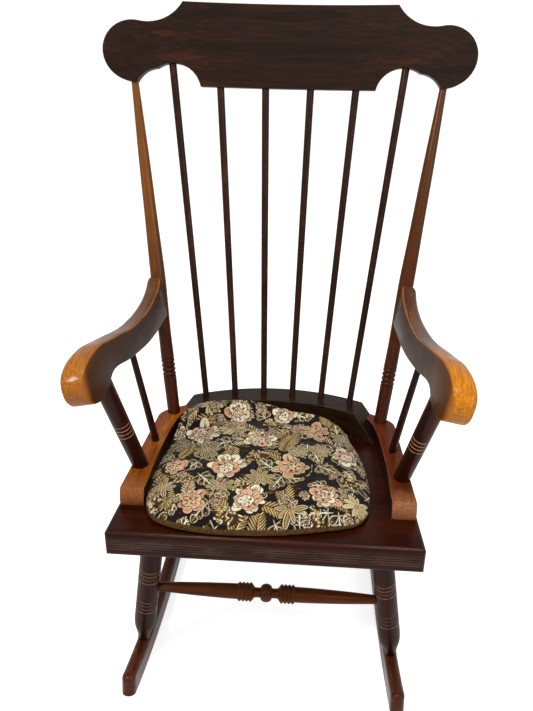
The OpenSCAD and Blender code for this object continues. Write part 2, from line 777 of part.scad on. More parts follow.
module crest_rail() {
    bend = crest_bend_r - sqrt(crest_bend_r * crest_bend_r - (ear_x + ear_r) * (ear_x + ear_r));
    color("#2a100c") in_chair() difference() {
        translate([0, crest_y, crest_z]) rotate([90 - crest_lean, 0, 0]) intersection() {
            translate([0, 0, -crest_t - over]) linear_extrude(crest_t + bend + 2 * over) crest_outline();
            translate([0, -over, crest_bend_r]) rotate([-90, 0, 0]) difference() {
                cylinder(r = crest_bend_r + crest_t, h = crest_h + 2 * over, $fn = 720);
                translate([0, 0, -over]) cylinder(r = crest_bend_r, h = crest_h + 4 * over, $fn = 720);
            }
        }
        for (i = [0 : spindle_count - 1])
            peg(spindle_head(i), spindle_foot(i), spindle_top_d + 2 * fit,
                spindle_more(i) + spindle_tenon + fit, crest_t);
        for (s = [0, 1]) mirror([s, 0, 0])
            peg(post_head, post_foot, post_top_d + 2 * fit, spindle_tenon + fit, crest_t);
    }
}

// Rows of a turned piece of length l: shares of that length, and of the growth of its
// diameter from d0 to d1; the whole piece grown by g
function turned_rows(shares, l, d0, d1, g = 0) = [
    for (p = shares) [p.x * l, mix(d0, d1, p.y) + 2 * g]
];

// Diameters of a turned piece under a group of ring grooves
function ring_widths(rows, z0, pitch, count) = [
    for (i = [0 : count - 1]) width_at(rows, z0 + i * pitch)
];

// The turned body of a back post, grown by g, from under the rail's top into the crest
post_len = norm(post_head - post_foot);
function post_rows(g) = turned_rows(smooth(post_shares, 3), post_len, post_top_d, post_d, g);
module post_body(g) {
    rows = post_rows(g);
    along(post_foot, post_head) turned(concat(
        [[-post_d, rows[0].y]], rows, [[post_len + spindle_tenon, post_top_d + 2 * g]]
    ));
}

// A hole square to the spindles' row, through the back post into the end of the arm
module arm_screw_hole(d, front, back) {
    translate([arm_screw_at.x, arm_screw_at.y - front, arm_screw_at.z])
        rotate([-90, 0, 0]) cylinder(d = d, h = front + back);
}

module back_post() {
    in_chair() difference() {
        union() {
            intersection() {
                post_body(0);
                above(rail_h + fit);
            }
            peg(post_foot, post_head, rail_tenon_d, rail_tenon, post_d);
        }
        along(post_foot, post_head) bead_band(
            post_bead_z, post_bead_len,
            ring_widths(post_rows(0), post_bead_z, post_bead_len, post_bead_count)
        );
        arm_screw_hole(screw_d + 2 * fit, post_d, post_d);
        arm_screw_hole(plug_d + 2 * fit, -head_seat, post_d);
    }
}

module back_post_left() {
    color("#6a2c12") left() back_post();
}
module back_post_right() {
    color("#6a2c12") back_post();
}

module back_spindle(i) {
    p = spindle_foot(i);
    q = spindle_head(i);
    l = norm(q - p);
    color("#1f0f0b") in_chair() along(p, q) turned([
        [-spindle_tenon, spindle_d],
        [0, spindle_d],
        [l, spindle_top_d],
        [l + spindle_more(i) + spindle_tenon, spindle_top_d]
    ]);
}

// Cross-section of the arm around its middle, w wide, from z0 to z1 on the middle
// surface: rows of across and up, with the outer top edge well rounded
function arm_corner(c, r, a0, n) = [
    for (i = [0 : n]) c + r * [cos(a0 + 90 * i / n), sin(a0 + 90 * i / n)]
];
function arm_section(w, z0, z1) =
    let (
        h = z1 - z0,
        r = min(arm_round, h / 2.4, w / 2.2),
        e = min(arm_edge, h / 5),
        m = (r + e) / 2
    )
    concat(
        arm_corner([w / 2 - m, z0 + m], m, -90, 5),
        arm_corner([w / 2 - r, z1 - r], r, 0, 6),
        arm_corner([e - w / 2, z1 - e], e, 90, 2),
        arm_corner([e - w / 2, z0 + e], e, 180, 2)
    );

// The right arm as one smooth shape, lofted through its sections from front to back
arm_rows = smooth(arm_shares, 2);
module arm_loft() {
    sections = [
        for (r = arm_rows)
            let (y = arm_y(r.x))
            [
                for (p = arm_section(r[3] * arm_w, r.y * arm_z, r.z * arm_z))
                    [
                        arm_x(y, p.y) + p.x * cos(arm_lean),
                        y,
                        p.y - p.x * sin(arm_lean)
                    ]
            ]
    ];
    n = len(sections[0]);
    m = len(sections);
    points = [for (s = sections) each s];
    skin = [
        for (j = [0 : m - 2], i = [0 : n - 1])
            let (a = j * n + i, b = j * n + (i + 1) % n)
            each [[a, b, b + n], [a, b + n, a + n]]
    ];
    front = [for (i = [1 : n - 2]) [0, i + 1, i]];
    back = [for (i = [1 : n - 2]) [(m - 1) * n, (m - 1) * n + i, (m - 1) * n + i + 1]];
    polyhedron(points = points, faces = concat(skin, front, back), convexity = 6);
}

module arm() {
    in_chair() difference() {
        arm_loft();
        // The rear end is cut in front of the back post's middle and coped to it
        post_body(fit);
        translate([-far, post_foot.y - arm_end, post_foot.z])
            rotate([atan2(post_head.z - post_foot.z, post_head.y - post_foot.y), 0, 0])
                translate([0, -far, -2 * far]) cube([2 * far, 3 * far, 2 * far]);
        peg(arm_post_head, arm_post_foot, arm_post_d + 2 * fit, fit, arm_post_d);
        peg(arm_post_head, arm_post_foot, arm_post_peg_d + 2 * fit, arm_tenon + fit, arm_post_d);
        peg(arm_spindle_head, arm_spindle_foot, arm_spindle_top_d + 2 * fit, fit, arm_post_d);
        arm_screw_hole(screw_d + 2 * fit, arm_screw_len, post_d);
    }
}

module arm_left() {
    color("#8a4a14") left() arm();
}
module arm_right() {
    color("#8a4a14") arm();
}

module arm_post() {
    l = norm(arm_post_head - arm_post_foot);
    d = arm_post_d;
    rows = turned_rows(smooth(arm_post_shares, 3), l, arm_post_foot_d, d);
    in_chair() difference() {
        union() {
            intersection() {
                along(arm_post_foot, arm_post_head) turned(concat([[-d, rows[0].y]], rows));
                above(rail_h + fit);
            }
            peg(arm_post_foot, arm_post_head, rail_tenon_d, rail_tenon, d);
            peg(arm_post_head, arm_post_foot, arm_post_peg_d, arm_tenon, over);
        }
        along(arm_post_foot, arm_post_head) ring_grooves(
            arm_ring_z, arm_ring_pitch,
            ring_widths(rows, arm_ring_z, arm_ring_pitch, arm_ring_count)
        );
    }
}

module arm_post_left() {
    color("#4a1a10") left() arm_post();
}
module arm_post_right() {
    color("#4a1a10") arm_post();
}

module arm_spindle() {
    l = norm(arm_spindle_head - arm_spindle_foot);
    in_chair() along(arm_spindle_foot, arm_spindle_head) turned([
        [-rail_tenon, arm_spindle_d],
        [0, arm_spindle_d],
        [l - arm_tenon, arm_spindle_top_d],
        [l, arm_spindle_top_d]
    ]);
}

module arm_spindle_left() {
    color("#2a120c") left() arm_spindle();
}
module arm_spindle_right() {
    color("#2a120c") arm_spindle();
}

// A turned leg from the plank to the runner, with its tenons and its ring grooves
module leg(top, foot) {
    l = norm(foot - top);
    rows = turned_rows(smooth(leg_shares, 3), l, leg_neck_d, leg_d);
    difference() {
        union() {
            intersection() {
                along(top, foot) turned(concat(
                    [[-leg_d, rows[0].y]], rows, [[l + foot_sink, leg_neck_d]]
                ));
                below(-seat_t - fit);
            }
            peg(top, foot, leg_tenon_d, leg_tenon, leg_d);
            peg(foot, top, foot_tenon_d, foot_sink + foot_tenon, over);
        }
        for (s = [upper_ring_share, lower_ring_share])
            along(top, foot) ring_grooves(
                s * l, leg_ring_pitch,
                ring_widths(rows, s * l, leg_ring_pitch, leg_ring_count)
            );
    }
}

module front_leg() {
    in_chair() difference() {
        leg(front_leg_top, front_leg_foot);
        stretcher_hole(front_stretcher_p, flip(front_stretcher_p));
        stretcher_hole(side_stretcher_p, side_stretcher_q);
    }
}
module rear_leg() {
    in_chair() difference() {
        leg(rear_leg_top, rear_leg_foot);
        stretcher_hole(rear_stretcher_p, flip(rear_stretcher_p));
        stretcher_hole(side_stretcher_q, side_stretcher_p);
    }
}

module front_leg_left() {
    color("#3f1a10") left() front_leg();
}
module front_leg_right() {
    color("#3f1a10") front_leg();
}
module rear_leg_left() {
    color("#3f1a10") left() rear_leg();
}
module rear_leg_right() {
    color("#3f1a10") rear_leg();
}

// Socket in a leg for the stretcher that runs from p to q: a shallow seat for its
// full end and a deeper hole for its tenon
module stretcher_hole(p, q) {
    peg(p, q, stretcher_tenon_d + 2 * fit, stretcher_tenon + fit, leg_d);
    peg(p, q, stretcher_end_d + 2 * fit, -stretcher_seat + fit, leg_d);
}

// The two tenons of a stretcher from p to q
module stretcher_ends(p, q) {
    peg(p, q, stretcher_tenon_d, stretcher_tenon, leg_d);
    peg(q, p, stretcher_tenon_d, stretcher_tenon, leg_d);
}

// A plain stretcher from p to q, thicker in its middle
module plain_stretcher(p, q) {
    l = norm(q - p);
    in_chair() {
        along(p, q) turned(concat(
            [[stretcher_seat, stretcher_end_d]],
            [for (i = [0 : 24]) [
                mix(leg_d / 2, l - leg_d / 2, i / 24),
                mix(stretcher_end_d, stretcher_d, sin(180 * i / 24))
            ]],
            [[l - stretcher_seat, stretcher_end_d]]
        ));
        stretcher_ends(p, q);
    }
}

// Half outline of the front stretcher, from its middle to its end
function bead_rows(z0) = [
    for (i = [0 : bead_count - 1], k = [0 : 5])
        [z0 + (i + k / 6) * bead_pitch, mix(bead_d * 0.84, bead_d, sin(180 * k / 6))]
];
module front_stretcher() {
    half = front_stretcher_p.x;
    bead_end = bead_start + bead_count * bead_pitch;
    rows = concat(
        [for (k = [0 : 8])
            [ball_len / 2 * sin(90 * k / 8), mix(ball_neck_d, ball_d, cos(90 * k / 8))]],
        [[mix(ball_len / 2, bead_start, 0.4), ball_neck_d * 0.97]],
        [[mix(ball_len / 2, bead_start, 0.75), ball_neck_d * 1.05]],
        bead_rows(bead_start),
        [for (k = [0 : 16])
            let (u = k / 16)
            [
                mix(bead_end, half - leg_d / 2, u),
                mix(swell_d, stretcher_end_d, pow(sin(90 * u), 2) * (1 - 0.35 * sin(180 * u)))
            ]],
        [[half - stretcher_seat, stretcher_end_d]]
    );
    color("#6b3413") in_chair() {
        translate([0, front_stretcher_p.y, front_stretcher_p.z]) rotate([0, 90, 0]) turned(concat(
            [for (i = [len(rows) - 1 : -1 : 1]) [-rows[i].x, rows[i].y]],
            rows
        ));
        stretcher_ends(front_stretcher_p, flip(front_stretcher_p));
    }
}

module rear_stretcher() {
    color("#4a2413") plain_stretcher(rear_stretcher_p, flip(rear_stretcher_p));
}
module side_stretcher_left() {
    color("#4a2413") left() plain_stretcher(side_stretcher_p, side_stretcher_q);
}
module side_stretcher_right() {
    color("#4a2413") plain_stretcher(side_stretcher_p, side_stretcher_q);
}

// Cross-section of a runner, drawn in by g: radius from the centre of its curve, across
module runner_section(g = 0) {
    r = runner_r - runner_h + g;
    w = runner_w / 2 - g;
    difference() {
        translate([r, -w]) square([runner_h - 2 * g, 2 * w]);
        for (s = [0, 1]) mirror([0, s]) difference() {
            translate([r - over, w - runner_round]) square([runner_round + over, runner_round + over]);
            translate([r + runner_round, w - runner_round]) circle(r = runner_round);
        }
    }
}

// The rounded end of a runner: its section turned about the middle of its end face
module runner_tip() {
    translate([0, -fit, 0]) rotate([0, 90, 0]) rotate_extrude(angle = 180) intersection() {
        rotate(90) runner_section(fit);
        square([runner_w, runner_r + over]);
    }
}

module runner() {
    difference() {
        translate([runner_x, contact_y, runner_r]) rotate([0, 0, runner_toe]) rotate([0, 90, 0]) {
            rotate([0, 0, -runner_front_angle])
                rotate_extrude(angle = runner_front_angle + runner_rear_angle, $fn = 720)
                    runner_section();
            rotate([0, 0, -runner_front_angle]) mirror([0, 1, 0]) runner_tip();
            rotate([0, 0, runner_rear_angle]) runner_tip();
        }
        in_chair() {
            foot_hole(front_leg_foot, front_leg_top);
            foot_hole(rear_leg_foot, rear_leg_top);
        }
    }
}

// Socket in a runner for the foot of a leg
module foot_hole(foot, top) {
    peg(foot, top, leg_neck_d + 2 * fit, foot_sink + fit, foot_sink);
    peg(foot, top, foot_tenon_d + 2 * fit, foot_sink + foot_tenon + fit, foot_sink);
}

module runner_left() {
    color("#5a2a12") left() runner();
}
module runner_right() {
    color("#5a2a12") runner();
}

// A countersunk wood screw with its head at the origin, pointing up
module screw(l) {
    cylinder(d1 = screw_head_d, d2 = screw_d, h = screw_head_d / 2);
    cylinder(d = screw_d, h = l);
}

module seat_screws() {
    color("#9a8a5a") in_chair() {
        for (s = [0, 1]) mirror([s, 0, 0])
            for (i = [0 : len(rail_screw_shares) - 1])
                translate([rail_screw(i).x, rail_screw(i).y, -seat_t + fit]) screw(seat_screw_len);
        for (i = [0 : len(riser_screw_turns) - 1])
            translate([riser_screw(i).x, riser_screw(i).y, -seat_t + fit]) screw(seat_screw_len);
    }
}

module arm_screws() {
    color("#9a8a5a") in_chair() for (s = [0, 1]) mirror([s, 0, 0])
        translate([arm_screw_at.x, arm_screw_at.y + plug_seat - fit, arm_screw_at.z])
            rotate([90, 0, 0]) screw(arm_screw_len);
}

module arm_plugs() {
    color("#6a2c12") in_chair() for (s = [0, 1]) mirror([s, 0, 0])
        translate([arm_screw_at.x, arm_screw_at.y + plug_seat + fit, arm_screw_at.z])
            rotate([-90, 0, 0]) cylinder(d = plug_d, h = plug_t);
}

// Underside of the cushion: flat on the plank, and up over the cove and the riser
function ease(t) = let (u = min(max(t, 0), 1)) u * u * (3 - 2 * u);
function cushion_under(x, y) =
    let (
        r = norm([x, y - rear_c]),
        wall = seat_rear_r - riser_w,
        left_share = ease((cushion_gap - x + riser_w) / (2 * riser_w)),
        lift = mix(riser_h * 0.62, riser_h + cushion_gap, left_share)
    )
    cushion_gap + lift * ease((r - wall + riser_w) / (riser_w - cove_lip));

function cushion_pt(p, ring) =
    let (
        x = -cushion_shift + ring[0] * p.x * cushion_w,
        y = cushion_front + (0.5 + ring[0] * (p.y - 0.5)) * cushion_d,
        z0 = cushion_under(x, y),
        thin = 1 - 0.45 * ease((z0 - cushion_gap) / riser_h)
    )
    [x, y, z0 + thin * (ring[1] * cushion_edge + ring[2] * (cushion_crown - cushion_edge))];

module seat_cushion() {
    plan = smooth_loop(cushion_shares, 2);
    n = len(plan);
    m = len(cushion_ring_shares);
    points = concat(
        [for (r = cushion_ring_shares, p = plan) cushion_pt(p, r)],
        [cushion_pt([0, 0.5], [0, 0, 0]), cushion_pt([0, 0.5], [0, 1, 1])]
    );
    skin = [
        for (j = [0 : m - 2], i = [0 : n - 1])
            let (a = j * n + i, b = j * n + (i + 1) % n)
            each [[a, a + n, b + n], [a, b + n, b]]
    ];
    under = [for (i = [0 : n - 1]) [m * n, i, (i + 1) % n]];
    crown = [for (i = [0 : n - 1]) [m * n + 1, (m - 1) * n + (i + 1) % n, (m - 1) * n + i]];
    color("#8a7d45") in_chair()
        polyhedron(points = points, faces = concat(skin, under, crown), convexity = 6);
}

seat_plank();
seat_rail_left();
seat_rail_right();
back_riser();
crest_rail();
back_post_left();
back_post_right();
back_spindle(0);  // back_spindle_1
back_spindle(1);  // back_spindle_2
back_spindle(2);  // back_spindle_3
back_spindle(3);  // back_spindle_4
back_spindle(4);  // back_spindle_5
back_spindle(5);  // back_spindle_6
arm_left();
arm_right();
arm_post_left();
arm_post_right();
arm_spindle_left();
arm_spindle_right();
front_leg_left();
front_leg_right();
rear_leg_left();
rear_leg_right();
runner_left();
runner_right();
front_stretcher();
rear_stretcher();
side_stretcher_left();
side_stretcher_right();
seat_screws();
arm_screws();
arm_plugs();
seat_cushion();
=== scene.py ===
"""Looks of the high-backed rocking chair: stained hardwoods and a woven tapestry seat cushion."""

import math
import random

import bmesh
import bpy
import numpy as np
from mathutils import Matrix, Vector
from mathutils.bvhtree import BVHTree


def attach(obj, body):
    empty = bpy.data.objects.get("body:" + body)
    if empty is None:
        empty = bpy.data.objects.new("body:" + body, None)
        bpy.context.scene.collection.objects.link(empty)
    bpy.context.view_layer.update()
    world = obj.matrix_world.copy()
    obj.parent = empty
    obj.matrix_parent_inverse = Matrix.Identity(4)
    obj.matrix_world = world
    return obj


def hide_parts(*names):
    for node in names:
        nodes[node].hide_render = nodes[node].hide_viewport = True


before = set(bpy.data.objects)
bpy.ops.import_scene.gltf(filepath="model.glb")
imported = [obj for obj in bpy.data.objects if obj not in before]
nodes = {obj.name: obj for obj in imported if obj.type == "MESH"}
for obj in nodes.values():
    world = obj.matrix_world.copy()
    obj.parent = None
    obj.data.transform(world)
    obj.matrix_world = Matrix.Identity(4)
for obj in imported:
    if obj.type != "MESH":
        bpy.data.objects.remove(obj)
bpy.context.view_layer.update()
scene = bpy.context.scene


# Places on the chair, in metres; the seat leans back by its tilt
SEAT_TILT = math.radians(3.4)
SEAT_FRONT = (0.0, -0.30571, 0.3944)
SEAT_UP = (0.0, math.sin(SEAT_TILT), math.cos(SEAT_TILT))
WELD = 0.00002
SIDES = (("left", -1), ("right", 1))


# Small helpers

def srgb(code):
    """Linear colour of an sRGB hex value."""
    parts = [int(code[i:i + 2], 16) / 255 for i in (1, 3, 5)]
    return tuple(c / 12.92 if c <= 0.04045 else ((c + 0.055) / 1.055) ** 2.4 for c in parts) + (1.0,)


# Node kinds that are used often, and their usual settings
MATH, MIX, RANGE, RAMP = "ShaderNodeMath", "ShaderNodeMix", "ShaderNodeMapRange", "ShaderNodeValToRGB"
VECTOR, NOISE, MAPPING = "ShaderNodeVectorMath", "ShaderNodeTexNoise", "ShaderNodeMapping"
PLACE = "ShaderNodeTexCoord"
COLOURS = dict(data_type="RGBA")
SMOOTH = dict(interpolation_type="SMOOTHSTEP")


def add(tree, kind, links=(), stops=(), **settings):
    """Adds one node: its settings by name, its inputs in order or by name or number, as values or
    as links, and a colour ramp's stops of place and hex value."""
    node = tree.nodes.new(kind)
    for key, value in settings.items():
        setattr(node, key, value)
    for socket, value in (links if isinstance(links, dict) else dict(enumerate(links))).items():
        if isinstance(value, bpy.types.NodeSocket):
            tree.links.new(value, node.inputs[socket])
        else:
            node.inputs[socket].default_value = value
    while stops and len(node.color_ramp.elements) < len(stops):
        node.color_ramp.elements.new(0.5)
    for element, (place, colour) in zip(node.color_ramp.elements if stops else (), stops):
        element.position = place
        element.color = srgb(colour)
    return node


def new_material(name):
    """An empty material, its node tree and its shader."""
    material = bpy.data.materials.new(name)
    material.use_nodes = True
    tree = material.node_tree
    tree.nodes.clear()
    shader = add(tree, "ShaderNodeBsdfPrincipled")
    add(tree, "ShaderNodeOutputMaterial", {0: shader.outputs[0]})
    return material, tree, shader


# Camera, floor, light

camera = bpy.data.objects.new("camera", bpy.data.cameras.new("camera"))
camera.data.sensor_fit = "HORIZONTAL"
camera.data.sensor_width = 36
camera.data.lens = 54.034
camera.location = (0.06707, -1.21208, 1.27834)
camera.rotation_euler = [math.radians(a) for a in (58.9181, -0.3331, 4.2314)]
scene.collection.objects.link(camera)
scene.camera = camera
scene.view_settings.view_transform = "Standard"


def lamp(name, place, target, size, power, tint):
    """A softbox that faces its target; sizes in metres and power in watts."""
    light = bpy.data.lights.new(name, "AREA")
    light.shape = "RECTANGLE"
    light.size, light.size_y = size
    light.energy = power
    light.color = srgb(tint)[:3]
    holder = bpy.data.objects.new(name, light)
    holder.location = place
    holder.rotation_euler = (Vector(target) - Vector(place)).to_track_quat("-Z", "Y").to_euler()
    scene.collection.objects.link(holder)


lamp("key_softbox", (-1.3, -1.5, 2.2), (0, -0.05, 0.45), (0.5, 0.5), 34, "#fff6ea")
lamp("overhead_left", (-0.35, -0.75, 2.5), (0, -0.1, 0.4), (0.35, 0.5), 17, "#fff8f0")
lamp("overhead_right", (0.45, -0.75, 2.5), (0, -0.1, 0.4), (0.35, 0.5), 17, "#fff8f0")
lamp("fill_softbox", (1.9, -1.3, 1.6), (0, 0, 0.5), (0.7, 1.0), 16, "#f4f7ff")


def seen_directly(tree):
    """1 for a ray from the camera, or one that left metal or glass, and 0 for other light."""
    path = add(tree, "ShaderNodeLightPath").outputs
    plain = add(tree, MATH, (path["Is Camera Ray"], path["Is Transmission Ray"]), operation="MAXIMUM")
    return add(tree, MATH, (plain.outputs[0], path["Is Glossy Ray"]), operation="MAXIMUM").outputs[0]


world = bpy.data.worlds.new("studio")
world.use_nodes = True
scene.world = world
world.node_tree.nodes.clear()
seen = seen_directly(world.node_tree)
glow = add(world.node_tree, MIX, {0: seen, 6: (0.42, 0.42, 0.43, 1), 7: (1, 1, 1, 1)}, **COLOURS).outputs[2]
backdrop = add(world.node_tree, "ShaderNodeBackground", {"Color": glow})
add(world.node_tree, "ShaderNodeOutputWorld", {0: backdrop.outputs[0]})

floor_mesh = bpy.data.meshes.new("floor")
floor_mesh.from_pydata([(-9, -9, 0), (9, -9, 0), (9, 9, 0), (-9, 9, 0)], [], [(0, 1, 2, 3)])
floor = bpy.data.objects.new("floor", floor_mesh)
scene.collection.objects.link(floor)
# Matt white studio floor: it keeps the chair's soft shadow and is otherwise as white as the backdrop
material, tree, shader = new_material("white_studio_floor")
shader.inputs["Base Color"].default_value = srgb("#e9e8e6")
shader.inputs["Roughness"].default_value = 0.9
shader.inputs["Specular IOR Level"].default_value = 0.1
facing = add(tree, "ShaderNodeLightPath").outputs["Is Camera Ray"]
glow = add(tree, MATH, (seen_directly(tree), 0.52), operation="MULTIPLY").outputs[0]
glow = add(tree, MATH, (facing, 0.2, glow), operation="MULTIPLY_ADD").outputs[0]
white = add(tree, "ShaderNodeEmission", {"Strength": glow})
both = add(tree, "ShaderNodeAddShader", {0: shader.outputs[0], 1: white.outputs[0]})
output = next(node for node in tree.nodes if node.type == "OUTPUT_MATERIAL")
tree.links.new(both.outputs[0], output.inputs[0])
floor_mesh.materials.append(material)


# Stained hardwood

VARNISH_SHINE = 0.05
VARNISH_ROUGHNESS = 0.12
GROOVE_EDGE, GROOVE_CORE = 0.0012, 0.0005


def scaled(tree, colour, factors):
    """A colour made darker or lighter by a factor for each of its channels."""
    links = {0: 1.0, 6: colour, 7: (*factors, 1)}
    return add(tree, MIX, links, blend_type="MULTIPLY", **COLOURS).outputs[2]


def normal_part(tree, axis):
    """The surface's direction along x, y or z of the object, by number."""
    return add(tree, "ShaderNodeSeparateXYZ", (add(tree, PLACE).outputs["Normal"],)).outputs[axis]


def wear_and_highlight_spot(tree, colour, here, grain, fine, place, reach, tint, amount):
    """Where hands rest the stain is gone, down to the golden wood; the lighter spot on the rails' rolled
    noses and on the right scroll's lit top is a painted highlight.
    """
    gap = add(tree, VECTOR, (here, place), operation="DISTANCE").outputs["Value"]
    gap = add(tree, MATH, (grain(14, 30, 3.0, 9.2), -reach * 0.5, gap), operation="MULTIPLY_ADD").outputs[0]
    near = add(tree, RANGE, (gap, reach * 0.75, 0.0, 0.0, 1.0), **SMOOTH).outputs[0]
    near = add(tree, MATH, (near, amount), operation="MULTIPLY").outputs[0]
    streak = add(tree, RANGE, (fine, 0.3, 0.7, 0.0, 1.0), **SMOOTH).outputs[0]
    dull = scaled(tree, srgb(tint), (0.62, 0.55, 0.5))
    bare = add(tree, MIX, {0: streak, 6: srgb(tint), 7: dull}, **COLOURS).outputs[2]
    return add(tree, MIX, {0: near, 6: colour, 7: bare}, **COLOURS).outputs[2]


def painted_shade_inner_face(tree, colour, aside, fine, inner):
    """Painted shade: the faces towards the seat are darker."""
    streak = add(tree, RANGE, (fine, 0.3, 0.75, 0.0, 1.0), **SMOOTH).outputs[0]
    pale = scaled(tree, srgb(inner), (1.8, 1.65, 1.5))
    painted_shade_colour = add(tree, MIX, {0: streak, 6: srgb(inner), 7: pale}, **COLOURS).outputs[2]
    share = add(tree, RANGE, (aside, 0.55, 0.85, 0.0, 0.9), **SMOOTH).outputs[0]
    return add(tree, MIX, {0: share, 6: colour, 7: painted_shade_colour}, **COLOURS).outputs[2]


def painted_highlight_ridge(tree, colour, aside, grain, ridge_highlight):
    """Painted highlight: the edge above the inner face is lighter, in broken streaks."""
    begins = add(tree, RANGE, (aside, 0.2, 0.5, 0.0, 1.0), **SMOOTH).outputs[0]
    ends = add(tree, RANGE, (aside, 0.95, 0.8, 0.0, 1.0), **SMOOTH).outputs[0]
    line = add(tree, MATH, (begins, ends), operation="MULTIPLY").outputs[0]
    edge_lightening = add(tree, RANGE, (grain(20, 45, 2.0, 6.1), 0.3, 0.6, 0.45, 0.95), **SMOOTH).outputs[0]
    line = add(tree, MATH, (line, edge_lightening), operation="MULTIPLY").outputs[0]
    return add(tree, MIX, {0: line, 6: colour, 7: srgb(ridge_highlight)}, **COLOURS).outputs[2]


def groove_lines(tree, here, axis, groups):
    """1 on the grooves that lie across an axis, from groups of start, pitch and count in metres."""
    foot, way = axis
    from_foot = add(tree, VECTOR, (here, foot), operation="SUBTRACT").outputs[0]
    along = add(tree, VECTOR, (from_foot, way), operation="DOT_PRODUCT").outputs["Value"]
    grooves = 0.0
    for start, pitch, count in groups:
        step = add(tree, MATH, (along, start), operation="SUBTRACT").outputs[0]
        step = add(tree, MATH, (step, pitch), operation="DIVIDE").outputs[0]
        nearest = add(tree, MATH, (step,), operation="ROUND").outputs[0]
        nearest = add(tree, MATH, (nearest, 0), operation="MAXIMUM").outputs[0]
        nearest = add(tree, MATH, (nearest, count - 1), operation="MINIMUM").outputs[0]
        off = add(tree, MATH, (step, nearest), operation="SUBTRACT").outputs[0]
        off = add(tree, MATH, (off,), operation="ABSOLUTE").outputs[0]
        off = add(tree, MATH, (off, pitch), operation="MULTIPLY").outputs[0]
        line = add(tree, RANGE, (off, GROOVE_EDGE, GROOVE_CORE, 0.0, 1.0), **SMOOTH).outputs[0]
        grooves = add(tree, MATH, (grooves, line), operation="MAXIMUM").outputs[0]
    return grooves


def wood_tone(tree, fine, broad, figure, contrast):
    """The stain's depth from 0 to 1: fine streaks, waves of figure and broad patches."""
    warped = add(tree, MATH, (broad, 9.0, fine), operation="MULTIPLY_ADD").outputs[0]
    warped = add(tree, MATH, (warped, 3.0), operation="MULTIPLY").outputs[0]
    bands = add(tree, MATH, (warped,), operation="SINE").outputs[0]
    bands = add(tree, MATH, (bands, 0.5, 0.5), operation="MULTIPLY_ADD").outputs[0]
    bands = add(tree, MATH, (bands, figure), operation="MULTIPLY").outputs[0]
    tone = add(tree, MATH, (fine, 1.0 - figure, bands), operation="MULTIPLY_ADD").outputs[0]
    tone = add(tree, MATH, (tone, 0.5), operation="SUBTRACT").outputs[0]
    tone = add(tree, MATH, (tone, contrast, 0.5), operation="MULTIPLY_ADD").outputs[0]
    patch = add(tree, MATH, (broad, 0.5), operation="SUBTRACT").outputs[0]
    return add(tree, MATH, (patch, 0.7, tone), operation="MULTIPLY_ADD").outputs[0]


